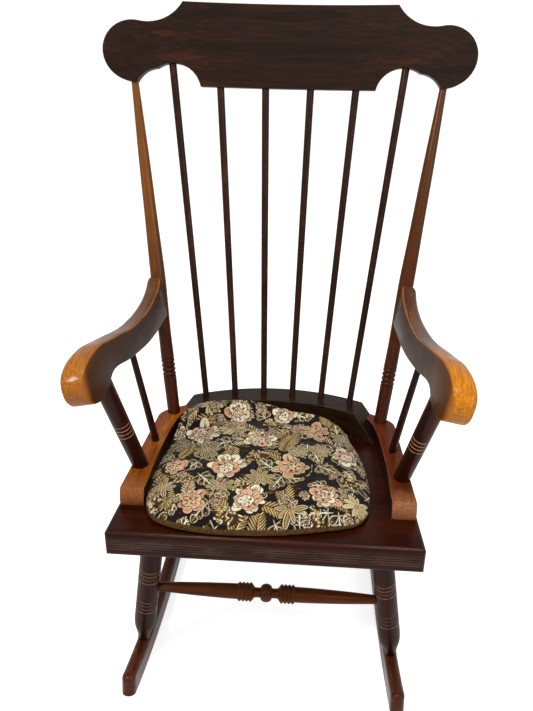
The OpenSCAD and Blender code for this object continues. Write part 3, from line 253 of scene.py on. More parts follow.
def stained_wood(
    name, dark, middle, light, turn=(0, 0, 0), streak=2.4, run=70, wear_and_highlight_colour=None, wear_and_highlight_amount=0.5, edge=2.5,
    gloss=0.34, coat=0.2, figure=0.35, rings=(), ring_colour="#9a6a48", axis=None, fade=None,
    inner=None, ridge_highlight=None, inward=0, contrast=0.6, front_only=False,
):
    """Beech or birch, stained and varnished. The grain runs along z after the turn in degrees;
    streak is the width and run the length of its streaks, and edge the reach of the lighter edges, in
    millimetres. Varnish is thinner on rounded edges, so that they show the warmer wood below; on the
    plank's nosing this lighter edge is a painted highlight. The inner colour paints shade on the faces
    towards the seat, and the ridge colour a highlight on the edge above them. inward is the sign of x
    towards the seat."""
    material, tree, shader = new_material(name)
    here = add(tree, PLACE).outputs["Object"]
    angles = [math.radians(a) for a in turn]
    turned = add(tree, MAPPING, {"Vector": here, "Rotation": angles}).outputs[0]

    def grain(across, along, detail, seed):
        size = (1000 / across, 1000 / across, 1000 / along)
        start = (seed, seed * 0.7, seed * 1.3)
        place = add(tree, MAPPING, {"Vector": turned, "Location": start, "Scale": size}).outputs[0]
        links = {"Vector": place, "Scale": 1.0, "Detail": detail, "Roughness": 0.6}
        return add(tree, NOISE, links).outputs[0]

    fine = grain(streak, run, 3.0, 3.1)
    pores = grain(streak * 0.45, run * 0.35, 2.0, 7.7)
    broad = grain(streak * 9, run * 3.2, 2.0, 1.9)
    tone = wood_tone(tree, fine, broad, figure, contrast)
    colour = add(tree, RAMP, (tone,), ((0.22, dark), (0.5, middle), (0.8, light))).outputs[0]
    open_pores = add(tree, RANGE, (pores, 0.62, 0.72, 0.0, 0.45), **SMOOTH).outputs[0]
    colour = add(tree, MIX, {0: open_pores, 6: colour, 7: srgb(dark)}, **COLOURS).outputs[2]

    round_normal = add(tree, "ShaderNodeBevel", {"Radius": edge / 1000}, samples=4).outputs[0]
    # Lighter rounded edges: worn varnish, and on the plank's nosing a painted highlight
    if wear_and_highlight_colour:
        flat_normal = add(tree, "ShaderNodeNewGeometry").outputs["True Normal"]
        bent = add(tree, VECTOR, (round_normal, flat_normal), operation="DOT_PRODUCT").outputs["Value"]
        edge_lightening = add(tree, RANGE, (bent, 0.985, 0.86, 0.0, 1.0), **SMOOTH).outputs[0]
        patchy = add(tree, RANGE, (grain(26, 60, 2.0, 5.3), 0.3, 0.62, 0.25, 1.0), **SMOOTH).outputs[0]
        edge_lightening = add(tree, MATH, (edge_lightening, patchy), operation="MULTIPLY").outputs[0]
        edge_lightening = add(tree, MATH, (edge_lightening, wear_and_highlight_amount), operation="MULTIPLY").outputs[0]
        colour = add(tree, MIX, {0: edge_lightening, 6: colour, 7: srgb(wear_and_highlight_colour)}, **COLOURS).outputs[2]
    # A lighter spot: wear where hands rest, and a painted highlight on the rails' rolled noses and the right
    # scroll's lit top
    if fade:
        colour = wear_and_highlight_spot(tree, colour, here, grain, fine, *fade)
    # Painted shade on the faces towards the seat
    if inner:
        aside = add(tree, MATH, (normal_part(tree, 0), inward), operation="MULTIPLY").outputs[0]
        colour = painted_shade_inner_face(tree, colour, aside, fine, inner)
    # Painted highlight on the edge above the faces towards the seat
    if ridge_highlight:
        colour = painted_highlight_ridge(tree, colour, aside, grain, ridge_highlight)
    # Groove lines; on the plank's front they are dark, painted shade in its reeds
    if rings:
        ring = groove_lines(tree, here, axis, rings)
        if front_only:
            facing = add(tree, RANGE, (normal_part(tree, 1), -0.3, -0.6, 0.0, 1.0), **SMOOTH).outputs[0]
            ring = add(tree, MATH, (ring, facing), operation="MULTIPLY").outputs[0]
        kept = add(tree, RANGE, (grain(5, 9, 2.0, 2.2), 0.3, 0.6, 0.35, 0.9), **SMOOTH).outputs[0]
        ring = add(tree, MATH, (ring, kept), operation="MULTIPLY").outputs[0]
        colour = add(tree, MIX, {0: ring, 6: colour, 7: srgb(ring_colour)}, **COLOURS).outputs[2]

    tree.links.new(colour, shader.inputs["Base Color"])
    patches = grain(30, 80, 3.0, 4.4)
    shine = add(tree, RANGE, (patches, 0.2, 0.8, gloss - 0.06, gloss + 0.1), **SMOOTH).outputs[0]
    tree.links.new(shine, shader.inputs["Roughness"])
    shader.inputs["Specular IOR Level"].default_value = VARNISH_SHINE
    shader.inputs["Coat Weight"].default_value = coat * 0.55
    shader.inputs["Coat Roughness"].default_value = VARNISH_ROUGHNESS
    if inner:
        thin = add(tree, RANGE, (aside, 0.5, 0.85, coat * 0.7, 0.02), **SMOOTH).outputs[0]
        tree.links.new(thin, shader.inputs["Coat Weight"])
    height = add(tree, MATH, (pores, -0.6, fine), operation="MULTIPLY_ADD").outputs[0]
    bump = add(tree, "ShaderNodeBump", {
        "Height": height, "Strength": 0.12, "Distance": 0.0006, "Normal": round_normal}).outputs[0]
    tree.links.new(bump, shader.inputs["Normal"])
    tree.links.new(round_normal, shader.inputs["Coat Normal"])
    return material


def dress(material, *names):
    """Gives CAD nodes a material through their slots."""
    for name in names:
        for slot in nodes[name].material_slots:
            slot.material = material


ALONG_X = (0, 90, 0)
ALONG_Y = (90, 0, 0)

dress(stained_wood(
    "dark_walnut_stained_beech_crest", "#110908", "#1c100a", "#361c0f", ALONG_X, streak=3.0, run=150,
    wear_and_highlight_colour="#5a3220", wear_and_highlight_amount=0.35, gloss=0.42, coat=0.08, figure=0.12, contrast=0.7), "crest_rail")
# The plank's grey lighter edge is a painted highlight along the nosing, and its dark reed lines are painted
# shade
dress(stained_wood(
    "dark_walnut_stained_beech_plank", "#140502", "#260b03", "#401705", ALONG_X, streak=3.0, run=120,
    wear_and_highlight_colour="#7a6458", wear_and_highlight_amount=0.6, edge=5, gloss=0.3, coat=0.16, figure=0.08, contrast=0.5,
    rings=((0.0155, 0.0049, 4),), ring_colour="#0c0402", front_only=True,
    axis=(SEAT_FRONT, tuple(-c for c in SEAT_UP))), "seat_plank")
dress(stained_wood(
    "smoky_stained_beech_riser", "#130b06", "#20140b", "#352214", ALONG_X, streak=2.6, run=90,
    wear_and_highlight_colour="#5a4a3c", wear_and_highlight_amount=0.45, gloss=0.28, coat=0.2, figure=0.15), "back_riser")
dress(stained_wood(
    "near_black_stained_beech_spindle", "#130704", "#231108", "#3f200e", streak=2.2, run=90,
    gloss=0.3, coat=0.16, figure=0.1), *["back_spindle_%d" % i for i in range(1, 7)])
dress(stained_wood(
    "dark_stained_beech_arm_spindle", "#120503", "#210a05", "#3f1707", streak=2.2, run=80,
    gloss=0.28, coat=0.18, figure=0.1), "arm_spindle_left", "arm_spindle_right")


NOSE_DEPTH = 0.006


def rail_nose(name):
    """The middle of a seat rail's rolled front end."""
    points = np.array([v.co for v in nodes[name].data.vertices], float)
    front = points[:, 1].min()
    return tuple(points[points[:, 1] < front + NOSE_DEPTH].mean(0))


# The rails' inner faces get painted shade, and the copper spot on each rolled nose is a painted highlight
dress(stained_wood(
    "amber_stained_birch_rail", "#441b07", "#72390b", "#945717", ALONG_Y, streak=3.0, run=90,
    wear_and_highlight_colour="#a56a38", wear_and_highlight_amount=0.6, gloss=0.3, coat=0.2, figure=0.08, inner="#120703", inward=1,
    fade=(rail_nose("seat_rail_left"), 0.05, "#8a5a36", 0.8)), "seat_rail_left")
dress(stained_wood(
    "red_stained_birch_rail", "#260c05", "#4b1d08", "#6a320e", ALONG_Y, streak=3.0, run=90,
    wear_and_highlight_colour="#a56a48", wear_and_highlight_amount=0.6, gloss=0.3, coat=0.2, figure=0.08, inner="#120703", inward=-1,
    fade=(rail_nose("seat_rail_right"), 0.05, "#9c6a48", 0.85)), "seat_rail_right")
dress(stained_wood(
    "brown_stained_beech_stretcher", "#260e05", "#462109", "#6b380e", ALONG_X, streak=2.6, run=80,
    wear_and_highlight_colour="#8a5a30", wear_and_highlight_amount=0.4, gloss=0.38, coat=0.1, figure=0.15),
    "front_stretcher", "rear_stretcher", "arm_plugs")
dress(stained_wood(
    "brown_stained_beech_side_stretcher", "#260e05", "#421e08", "#63330d", ALONG_Y, streak=2.6, run=80,
    gloss=0.38, coat=0.1, figure=0.15), "side_stretcher_left", "side_stretcher_right")
dress(stained_wood(
    "red_brown_stained_beech_runner", "#210a03", "#3d1806", "#67300c", ALONG_Y, streak=3.0, run=90,
    wear_and_highlight_colour="#8c5a38", wear_and_highlight_amount=0.3, gloss=0.28, coat=0.25, figure=0.2), "runner_left", "runner_right")

# Turned pieces: each starts at the seat, where its shoulder ends a tenon, and its ring grooves
# are groups of start, pitch and count in metres from that shoulder
TENON = 0.024
END_SLICE = 0.004
TURNED = {
    "front_leg": ((0.0978, 0.009, 4), (0.1764, 0.009, 4)),
    "rear_leg": ((0.09555, 0.009, 4), (0.17234, 0.009, 4)),
    "back_post": (),
    "arm_post": ((0.078, 0.008, 4),),
}
LEG_WOOD = dict(
    dark="#110502", middle="#240c05", light="#401a09", gloss=0.38, coat=0.08, ring_colour="#8a6145")
WOODS = {
    "front_leg": LEG_WOOD,
    "rear_leg": LEG_WOOD,
    "back_post": dict(dark="#1d0802", middle="#341103", light="#582807", gloss=0.24, coat=0.22),
    "arm_post": dict(
        dark="#120502", middle="#290b04", light="#4b1c09", gloss=0.28, coat=0.22, ring_colour="#b28563"),
}
# The back posts' upper halves are worn to golden brown, the left one more
POST_TOP_TENON = 0.018
POST_FADE_REACH = 0.55
POST_FADE = {"left": 0.8, "right": 0.3}


def middle_line(name):
    """The two ends of a turned piece's middle line, the end in the seat first."""
    points = np.array([v.co for v in nodes[name].data.vertices], float)
    spread_out = points - points.mean(0)
    way = np.linalg.eigh(spread_out.T @ spread_out)[1][:, 2]
    along = points @ way
    ends = [points[np.abs(along - end) < END_SLICE].mean(0) for end in (along.min(), along.max())]
    ends.sort(key=lambda end: abs(end[2] - SEAT_FRONT[2]))
    return [Vector(end) for end in ends]


for part, groups in TURNED.items():
    for side, _ in SIDES:
        seat_end, far_end = middle_line("%s_%s" % (part, side))
        way = (far_end - seat_end).normalized()
        shoulder = seat_end + way * TENON
        tilt = way.to_track_quat("Z", "Y").inverted().to_euler()
        fade = None
        if part == "back_post":
            fade = (far_end - way * POST_TOP_TENON, POST_FADE_REACH, "#77491b", POST_FADE[side])
        wood = stained_wood(
            "stained_beech_%s_%s" % (part, side), turn=[math.degrees(a) for a in tilt], streak=2.4, run=90,
            figure=0.06, contrast=0.45, rings=groups, axis=(shoulder, way), fade=fade, **WOODS[part])
        dress(wood, "%s_%s" % (part, side))

# Zinc-plated steel screws, seen only from below
material, tree, shader = new_material("zinc_plated_steel_screws")
here = add(tree, PLACE).outputs["Object"]
specks = add(tree, NOISE, {"Vector": here, "Scale": 900.0, "Detail": 3.0}).outputs[0]
zinc = add(tree, RAMP, (specks,), ((0.3, "#8f8a7c"), (0.7, "#c3bda9"))).outputs[0]
matt = add(tree, RANGE, (specks, 0.3, 0.7, 0.28, 0.45), **SMOOTH).outputs[0]
tree.links.new(zinc, shader.inputs["Base Color"])
tree.links.new(matt, shader.inputs["Roughness"])
shader.inputs["Metallic"].default_value = 1.0
dress(material, "seat_screws", "arm_screws")


# Arms with one smooth skin

def merged_copy(node, name, angle):
    """A copy of a CAD node as one welded mesh, smooth wherever its faces turn less than the angle."""
    mesh = nodes[node].data.copy()
    work = bmesh.new()
    work.from_mesh(mesh)
    bmesh.ops.remove_doubles(work, verts=work.verts, dist=WELD)
    work.to_mesh(mesh)
    work.free()
    piece = bpy.data.objects.new(name, mesh)
    scene.collection.objects.link(piece)
    mesh.shade_smooth()
    mesh.set_sharp_from_angle(angle=math.radians(angle))
    return piece


# The scrolls are worn golden where hands rest; the right one's spot reaches further and is brighter, and
# there it is partly a painted highlight on the scroll's lit top
SCROLL = (0.276, -0.295, 0.64)
SCROLL_WEAR_AND_HIGHLIGHT = {"left": (0.17, "#9c611c"), "right": (0.2, "#bd7812")}
for side, sign in SIDES:
    arm = merged_copy("arm_" + side, "smooth_arm_" + side, 38)
    reach, tint = SCROLL_WEAR_AND_HIGHLIGHT[side]
    arm.data.materials.clear()
    # The arm's inner face gets painted shade and the edge above it a painted highlight
    arm.data.materials.append(stained_wood(
        "worn_golden_stained_birch_arm_" + side, "#2f190b", "#4c2c14", "#74461f", ALONG_Y,
        streak=3.2, run=110, wear_and_highlight_colour="#a8682a", wear_and_highlight_amount=0.3, edge=3.0, gloss=0.28, coat=0.3, figure=0.1,
        inner="#24140a", ridge_highlight="#8f5620", inward=-sign,
        fade=((sign * SCROLL[0], SCROLL[1], SCROLL[2]), reach, tint, 0.95)))
    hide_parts("arm_" + side)
    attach(arm, "chair")


# Cushion: form

# Sizes of the pad in millimetres; its middle lies a little left of the seat's
WIDE, DEEP = 366.0, 333.5
PAD_LEFT = 14
PAD_BACK = 6 + DEEP / 2
RISER_ARC_MIDDLE, RISER_ARC_R = 33, 307
RISER_TOP = 50
SEAM_DEPTH, SEAM_WIDTH = 0.7, 1.6
BOXING_BLUR = 1.2
SWELL_LIMIT = 0.005
VOXEL = 0.004
# Where the filling is thin, because the pad climbs on to the riser, its top is rounded out: places
# and heights, and the reach of each to the side and to the back
THIN_PLACES = ((-97, 106, 5.5), (125, 106, 3.5))
THIN_REACH = (22, 15)
# The pad sits fullest at its front corners and along its front
FULLER_LEFT, FULLER_RIGHT, FULLER_FRONT = 6.0, 2.0, 3.5
# The pad's plan: shares of its width from its middle and of its depth
outline_shares = [
    (-0.325, 0.017), (-0.435, 0.064), (-0.486, 0.162), (-0.500, 0.310), (-0.496, 0.480), (-0.480, 0.655),
    (-0.450, 0.798), (-0.402, 0.890), (-0.320, 0.962), (-0.172, 0.992), (-0.015, 0.998), (0.145, 0.985),
    (0.257, 0.958), (0.342, 0.908), (0.412, 0.825), (0.462, 0.688), (0.492, 0.522), (0.500, 0.370),
    (0.494, 0.240), (0.474, 0.160), (0.421, 0.096), (0.276, 0.051), (0.134, 0.018), (-0.019, 0.0),
    (-0.180, -0.004),
]


def rounded(points, steps):
    """A closed smooth curve through the points."""
    here = np.array(points, float)
    before, after, beyond = np.roll(here, 1, 0), np.roll(here, -1, 0), np.roll(here, -2, 0)
    second = 2 * before - 5 * here + 4 * after - beyond
    third = 3 * here - before - 3 * after + beyond
    rows = []
    for step in range(steps):
        u = step / steps
        rows.append((2 * here + (after - before) * u + (second * u * u + third * u ** 3)) / 2)
    return np.stack(rows, 1).reshape(-1, 2)


outline = rounded([(x * WIDE, (y - 0.5) * DEEP) for x, y in outline_shares], 6)


def on_seat(points):
    """World points (n, 3) as millimetres across, along and over the seat, from the pad's middle."""
    p = (np.asarray(points, float) - SEAT_FRONT) * 1000
    along = p[:, 1] * SEAT_UP[2] - p[:, 2] * SEAT_UP[1]
    over = p[:, 1] * SEAT_UP[1] + p[:, 2] * SEAT_UP[2]
    return np.stack([p[:, 0] + PAD_LEFT, along - PAD_BACK, over], 1)


def off_seat(points):
    """The way back from on_seat."""
    p = np.asarray(points, float)
    along = p[:, 1] + PAD_BACK
    y = along * SEAT_UP[2] + p[:, 2] * SEAT_UP[1]
    z = p[:, 2] * SEAT_UP[2] - along * SEAT_UP[1]
    return np.stack([p[:, 0] - PAD_LEFT, y, z], 1) / 1000 + SEAT_FRONT


def from_edge(plan):
    """How far each point lies inside the pad's outline in plan, in millimetres; less than 0 outside."""
    gap = np.full(len(plan), 1e9)
    odd = np.zeros(len(plan), bool)
    for a, b in zip(outline, np.roll(outline, -1, axis=0)):
        run = b - a
        share = np.clip(((plan[:, :2] - a) @ run) / (run @ run), 0, 1)
        gap = np.minimum(gap, np.linalg.norm(plan[:, :2] - a - share[:, None] * run, axis=1))
        crosses = (a[1] > plan[:, 1]) != (b[1] > plan[:, 1])
        edge_x = (b[0] - a[0]) * (plan[:, 1] - a[1]) / (b[1] - a[1] + 1e-12) + a[0]
        odd ^= crosses & (plan[:, 0] < edge_x)
    return np.where(odd, gap, -gap)


def seam_inset(y):
    """How far the seam lies inside the pad's edge: 3 mm, and up to 7 along the front, where the
    boxing shows."""
    return 3.0 + 4.0 * np.clip((-y - 90) / 60, 0, 1)


def spread(plan):
    """The places of the pad's points once its front corners and its front are fuller."""
    moved = np.array(plan, float)
    ahead = np.clip((90 - moved[:, 1]) / 120, 0, 1)
    left = np.clip((-moved[:, 0] - 60) / 110, 0, 1) * ahead
    right = np.clip((moved[:, 0] - 80) / 90, 0, 1) * ahead
    front = np.clip((-moved[:, 1] - 40) / 120, 0, 1)
    moved[:, 0] += FULLER_RIGHT * right - FULLER_LEFT * left
    moved[:, 1] -= FULLER_FRONT * front
    return moved


def plumped(source):
    """The pad's swollen form: a cloth shell with a little pressure in it, held near the CAD shape."""
    pad = source.copy()
    pad.data = source.data.copy()
    pad.name = "tapestry_cushion"
    pad.parent = None
    scene.collection.objects.link(pad)
    for key in list(pad.keys()):
        del pad[key]
    work = bmesh.new()
    work.from_mesh(pad.data)
    bmesh.ops.remove_doubles(work, verts=work.verts, dist=WELD)
    work.normal_update()
    top = [v for v in work.verts if v.normal.z > 0.4]
    where = on_seat([v.co for v in top])
    for x, y, height in THIN_PLACES:
        aside, back = (where[:, 0] - x) / THIN_REACH[0], (where[:, 1] - y) / THIN_REACH[1]
        where[:, 2] += height * np.exp(-(aside ** 2 + back ** 2))
    for vertex, at in zip(top, off_seat(where)):
        vertex.co = at
    work.to_mesh(pad.data)
    work.free()
    remesh = pad.modifiers.new("remesh", "REMESH")
    remesh.mode = "VOXEL"
    remesh.voxel_size = VOXEL
    bpy.context.view_layer.update()
    shape = bpy.data.meshes.new_from_object(pad.evaluated_get(bpy.context.evaluated_depsgraph_get()))
    pad.modifiers.clear()
    pad.data = shape
    rest = np.array([v.co for v in shape.vertices], float)
    cloth = pad.modifiers.new("cloth", "CLOTH")
    cloth.settings.quality = 6
    cloth.settings.tension_stiffness = 30
    cloth.settings.compression_stiffness = 12
    cloth.settings.bending_stiffness = 1.5
    cloth.settings.use_pressure = True
    cloth.settings.uniform_pressure_force = 4.0
    cloth.settings.effector_weights.gravity = 0
    cloth.collision_settings.use_collision = False
    for step in range(1, 21):
        scene.frame_set(step)
    moved = bpy.data.meshes.new_from_object(pad.evaluated_get(bpy.context.evaluated_depsgraph_get()))
    pad.modifiers.clear()
    scene.frame_set(1)
    now = np.array([v.co for v in moved.vertices], float)
    shift = now - rest
    size = np.linalg.norm(shift, axis=1, keepdims=True)
    shift *= np.minimum(1.0, SWELL_LIMIT / np.maximum(size, 1e-9))
    # The underside rests on the seat and keeps its place
    low = np.clip((on_seat(rest)[:, 2:3] - 4.0) / 10.0, 0, 1)
    now = rest + shift * low
    shape.vertices.foreach_set("co", now.ravel())
    shape.update()
    return pad


cushion = plumped(nodes["seat_cushion"])
softened = cushion.modifiers.new("smooth", "SUBSURF")
softened.levels = softened.render_levels = 1
bpy.context.view_layer.update()
fine_mesh = bpy.data.meshes.new_from_object(cushion.evaluated_get(bpy.context.evaluated_depsgraph_get()))
cushion.modifiers.clear()
cushion.data = fine_mesh

work = bmesh.new()
work.from_mesh(fine_mesh)
work.normal_update()
top_edges = [e for e in work.edges if all(f.normal.z > 0.35 for f in e.link_faces)]
bmesh.ops.subdivide_edges(work, edges=top_edges, cuts=1, use_grid_fill=True)
work.to_mesh(fine_mesh)
work.free()

# The pad lies over the riser's upper edge, so its top keeps clear of that, and the seam is drawn
# in a little
plan = on_seat([v.co for v in fine_mesh.vertices])
normals = np.array([v.normal for v in fine_mesh.vertices], float)
inside = from_edge(plan)
behind = np.hypot(plan[:, 0] - PAD_LEFT, plan[:, 1] + PAD_BACK - RISER_ARC_MIDDLE)
lowest = np.where(behind > RISER_ARC_R, RISER_TOP + 3.5 * np.clip(inside / 6, 0.2, 1), -99)
upper = (normals[:, 2] > 0.3) & (plan[:, 2] > 30)
plan[:, 2] = np.where(upper, np.maximum(plan[:, 2], lowest), plan[:, 2])
seam_in = seam_inset(plan[:, 1])
plan[:, 2] -= SEAM_DEPTH * np.exp(-((inside - seam_in) / SEAM_WIDTH) ** 2) * (normals[:, 2] > 0.25)
plan = spread(plan)
fine_mesh.vertices.foreach_set("co", off_seat(plan).ravel())
fine_mesh.update()
fine_mesh.shade_smooth()


# Cushion: woven design

SOFT = 0.5
GROUND, OLIVE, MOSS, CREAM, SAND = "#141216", "#5c4a20", "#7d6832", "#fff6d6", "#dcc083"
SALMON, ROSE, BROWN, BARK = "#dea582", "#5c2222", "#4a2f18", "#241a12"
STRAW, PEAT, RUST = "#d9c27a", "#3b3320", "#6a4426"
DARK = np.array(srgb("#120f10")[:3])
picture = np.tile(np.array(srgb(GROUND)[:3]), (len(plan), 1))


def tinted(code, change, dice):
    """A colour a little lighter or darker than the one named."""
    factor = 1 + dice.uniform(-change, change)
    return np.clip(np.array(srgb(code)[:3]) * factor, 0, 1)


def petal(x, y, length, width, turn, fill, edge, rim=1.0, blunt=0.75, rib=None):
    """One leaf- or petal-shaped patch with a rim, from its foot at x, y."""
    du, dv = plan[:, 0] - x, plan[:, 1] - y
    reach = length + width
    near = np.nonzero((np.abs(du) < reach) & (np.abs(dv) < reach))[0]
    if not len(near):
        return
    c, s = math.cos(turn), math.sin(turn)
    a = (du[near] * c + dv[near] * s) / length
    b = dv[near] * c - du[near] * s
    half = width / 2 * np.sqrt(np.clip(np.sin(math.pi * np.clip(a, 0, 1) ** (1 / blunt)), 0, 1))
    inside = np.where((a > 0) & (a < 1), half - np.abs(b), -9)
    for depth, colour in ((0, edge), (rim, fill)):
        cover = np.clip((inside - depth) / SOFT + 0.5, 0, 1)[:, None]
        picture[near] += (colour - picture[near]) * cover
    if rib is not None:
        cover = (np.clip((0.7 - np.abs(b)) / SOFT + 0.3, 0, 1) * (inside > rim) * (a < 0.86))[:, None]
        picture[near] += (rib - picture[near]) * cover


def disc(x, y, radius, fill, edge, rim=0.9):
    """One round patch with a rim."""
    gap = np.hypot(plan[:, 0] - x, plan[:, 1] - y)
    near = np.nonzero(gap < radius + 2)[0]
    for depth, colour in ((0, edge), (rim, fill)):
        cover = np.clip((radius - gap[near] - depth) / SOFT + 0.5, 0, 1)[:, None]
        picture[near] += (colour - picture[near]) * cover


def lobed_leaf(x, y, length, turn, dice, fill=OLIVE):
    """A broad leaf of rounded lobes with pale rims, laid from its tip to its foot."""
    c, s = math.cos(turn), math.sin(turn)
    petal(x - 3 * c, y - 3 * s, length * 1.12, length * 0.95, turn, DARK, DARK, 1, 0.6)
    rim = tinted(CREAM, 0.2, dice)
    for place, size, splay in ((0.62, 0.42, 0.0), (0.55, 0.34, 0.5), (0.38, 0.4, 0.85), (0.18, 0.42, 1.2)):
        u, v, lobe = x + place * length * c, y + place * length * s, size * length
        for side in ((-1, 1) if splay else (1,)):
            way = turn + side * splay
            green = tinted(fill, 0.25, dice)
            petal(u, v, lobe, lobe * 0.62, way, green, rim, 1.0, 0.6, tinted(SAND, 0.2, dice))
            petal(u, v, lobe * 0.7, lobe * 0.2, way, DARK, tinted(fill, 0.2, dice), 0.5, 0.7)
    petal(x, y, length * 0.9, 2.4, turn, rim, rim, 0.5)


def feather(x, y, length, turn, bend, dice, blade=CREAM):
    """A fern frond: narrow pale blades on both sides of a bending rib, with the dark ground between them."""
    count = max(6, int(length / 4.4))
    for k in range(count):
        s = (k + 0.5) / count
        way = turn + bend * s
        px = x + length * s * math.cos(turn + bend * s / 2)
        py = y + length * s * math.sin(turn + bend * s / 2)
        long = length * 0.34 * math.sin(math.pi * (0.14 + 0.76 * s)) + 4
        for side in (-1, 1):
            lean = way + side * (1.0 - 0.45 * s)
            petal(px, py, long + 1.5, 6.0, lean, DARK, DARK, 0.5, 0.9)
            fill = tinted(blade if k % 3 else SAND, 0.2, dice)
            petal(px, py, long, 3.2, lean, fill, tinted(OLIVE, 0.3, dice), 0.5, 0.9)
    fill = tinted(SAND, 0.2, dice)
    petal(x, y, length * 0.95, 2.6, turn + bend / 2, fill, tinted(OLIVE, 0.2, dice), 0.5)


def bloom(x, y, radius, count, turn, dice, outer=SALMON, inner=CREAM):
    """A full flower with ruffled, streaked petals, laid ring over ring towards its heart."""
    c, s = math.cos(turn), math.sin(turn)
    petal(x - radius * c, y - radius * s, radius * 2.1, radius * 1.9, turn, DARK, DARK, 1, 0.6)
    for n, (reach, fill) in enumerate(((1.08, outer), (0.74, inner), (0.44, outer))):
        number = max(5, count - 3 * n)
        u, v = x + radius * 0.1 * n * c, y + radius * 0.1 * n * s
        for k in range(number):
            way = turn + n * 0.7 + 2 * math.pi * k / number + dice.uniform(-0.25, 0.25)
            long = radius * reach * dice.uniform(0.72, 1.12)
            wide = 2 * math.pi * long / number * dice.uniform(0.7, 0.95)
            petal(u, v, long + 1.2, wide + 2.2, way, tinted(ROSE, 0.3, dice), DARK, 0.6, 0.6)
            petal(u, v, long, wide, way, tinted(fill, 0.25, dice), tinted(CREAM, 0.1, dice), 1.0, 0.6)
            for lean in (-0.17, 0.0, 0.17):
                tone = dice.choice((ROSE, BROWN, OLIVE, CREAM))
                ray = long * dice.uniform(0.5, 0.7)
                petal(u + long * 0.2 * math.cos(way), v + long * 0.2 * math.sin(way), ray, 1.9, way + lean,
                      tinted(tone, 0.3, dice), tinted(tone, 0.3, dice), 0.4, 0.9)
    fill = tinted(CREAM, 0.1, dice)
    disc(x + radius * 0.15 * c, y + radius * 0.15 * s, radius * 0.12, fill, tinted(BROWN, 0.1, dice))


def lily(x, y, radius, turn, dice, fill=MOSS):
    """A spray of long pointed petals."""
    for k in range(9):
        way = turn + 2 * math.pi * k / 9 + dice.uniform(-0.15, 0.15)
        long = radius * dice.uniform(0.8, 1.15)
        petal(x, y, long + 2, long * 0.46, way, DARK, DARK, 0.5, 0.8)
        petal(x, y, long, long * 0.33, way, tinted(fill, 0.25, dice), tinted(CREAM, 0.15, dice), 1.0, 0.8,
              tinted(SAND, 0.2, dice))
    disc(x, y, radius * 0.16, tinted(SALMON, 0.1, dice), tinted(BROWN, 0.1, dice))


def tuft(x, y, radius, dice):
    """A bush of small pale dabs on a brown patch."""
    fill = tinted(BROWN, 0.2, dice)
    petal(x - radius, y, radius * 2, radius * 1.2, 0, fill, tinted(BARK, 0.2, dice), 2.0, 0.7)
    for _ in range(int(radius * 2.1)):
        way, gap = dice.uniform(0, 2 * math.pi), radius * math.sqrt(dice.random())
        u, v = x + gap * math.cos(way), y + gap * math.sin(way) * 0.72
        petal(u, v, dice.uniform(5, 8), dice.uniform(2.8, 4.0), dice.uniform(0.3, 2.8),
              tinted(dice.choice((CREAM, CREAM, STRAW, SAND)), 0.15, dice),
              tinted(dice.choice((BROWN, MOSS)), 0.3, dice), 0.6, 0.6)


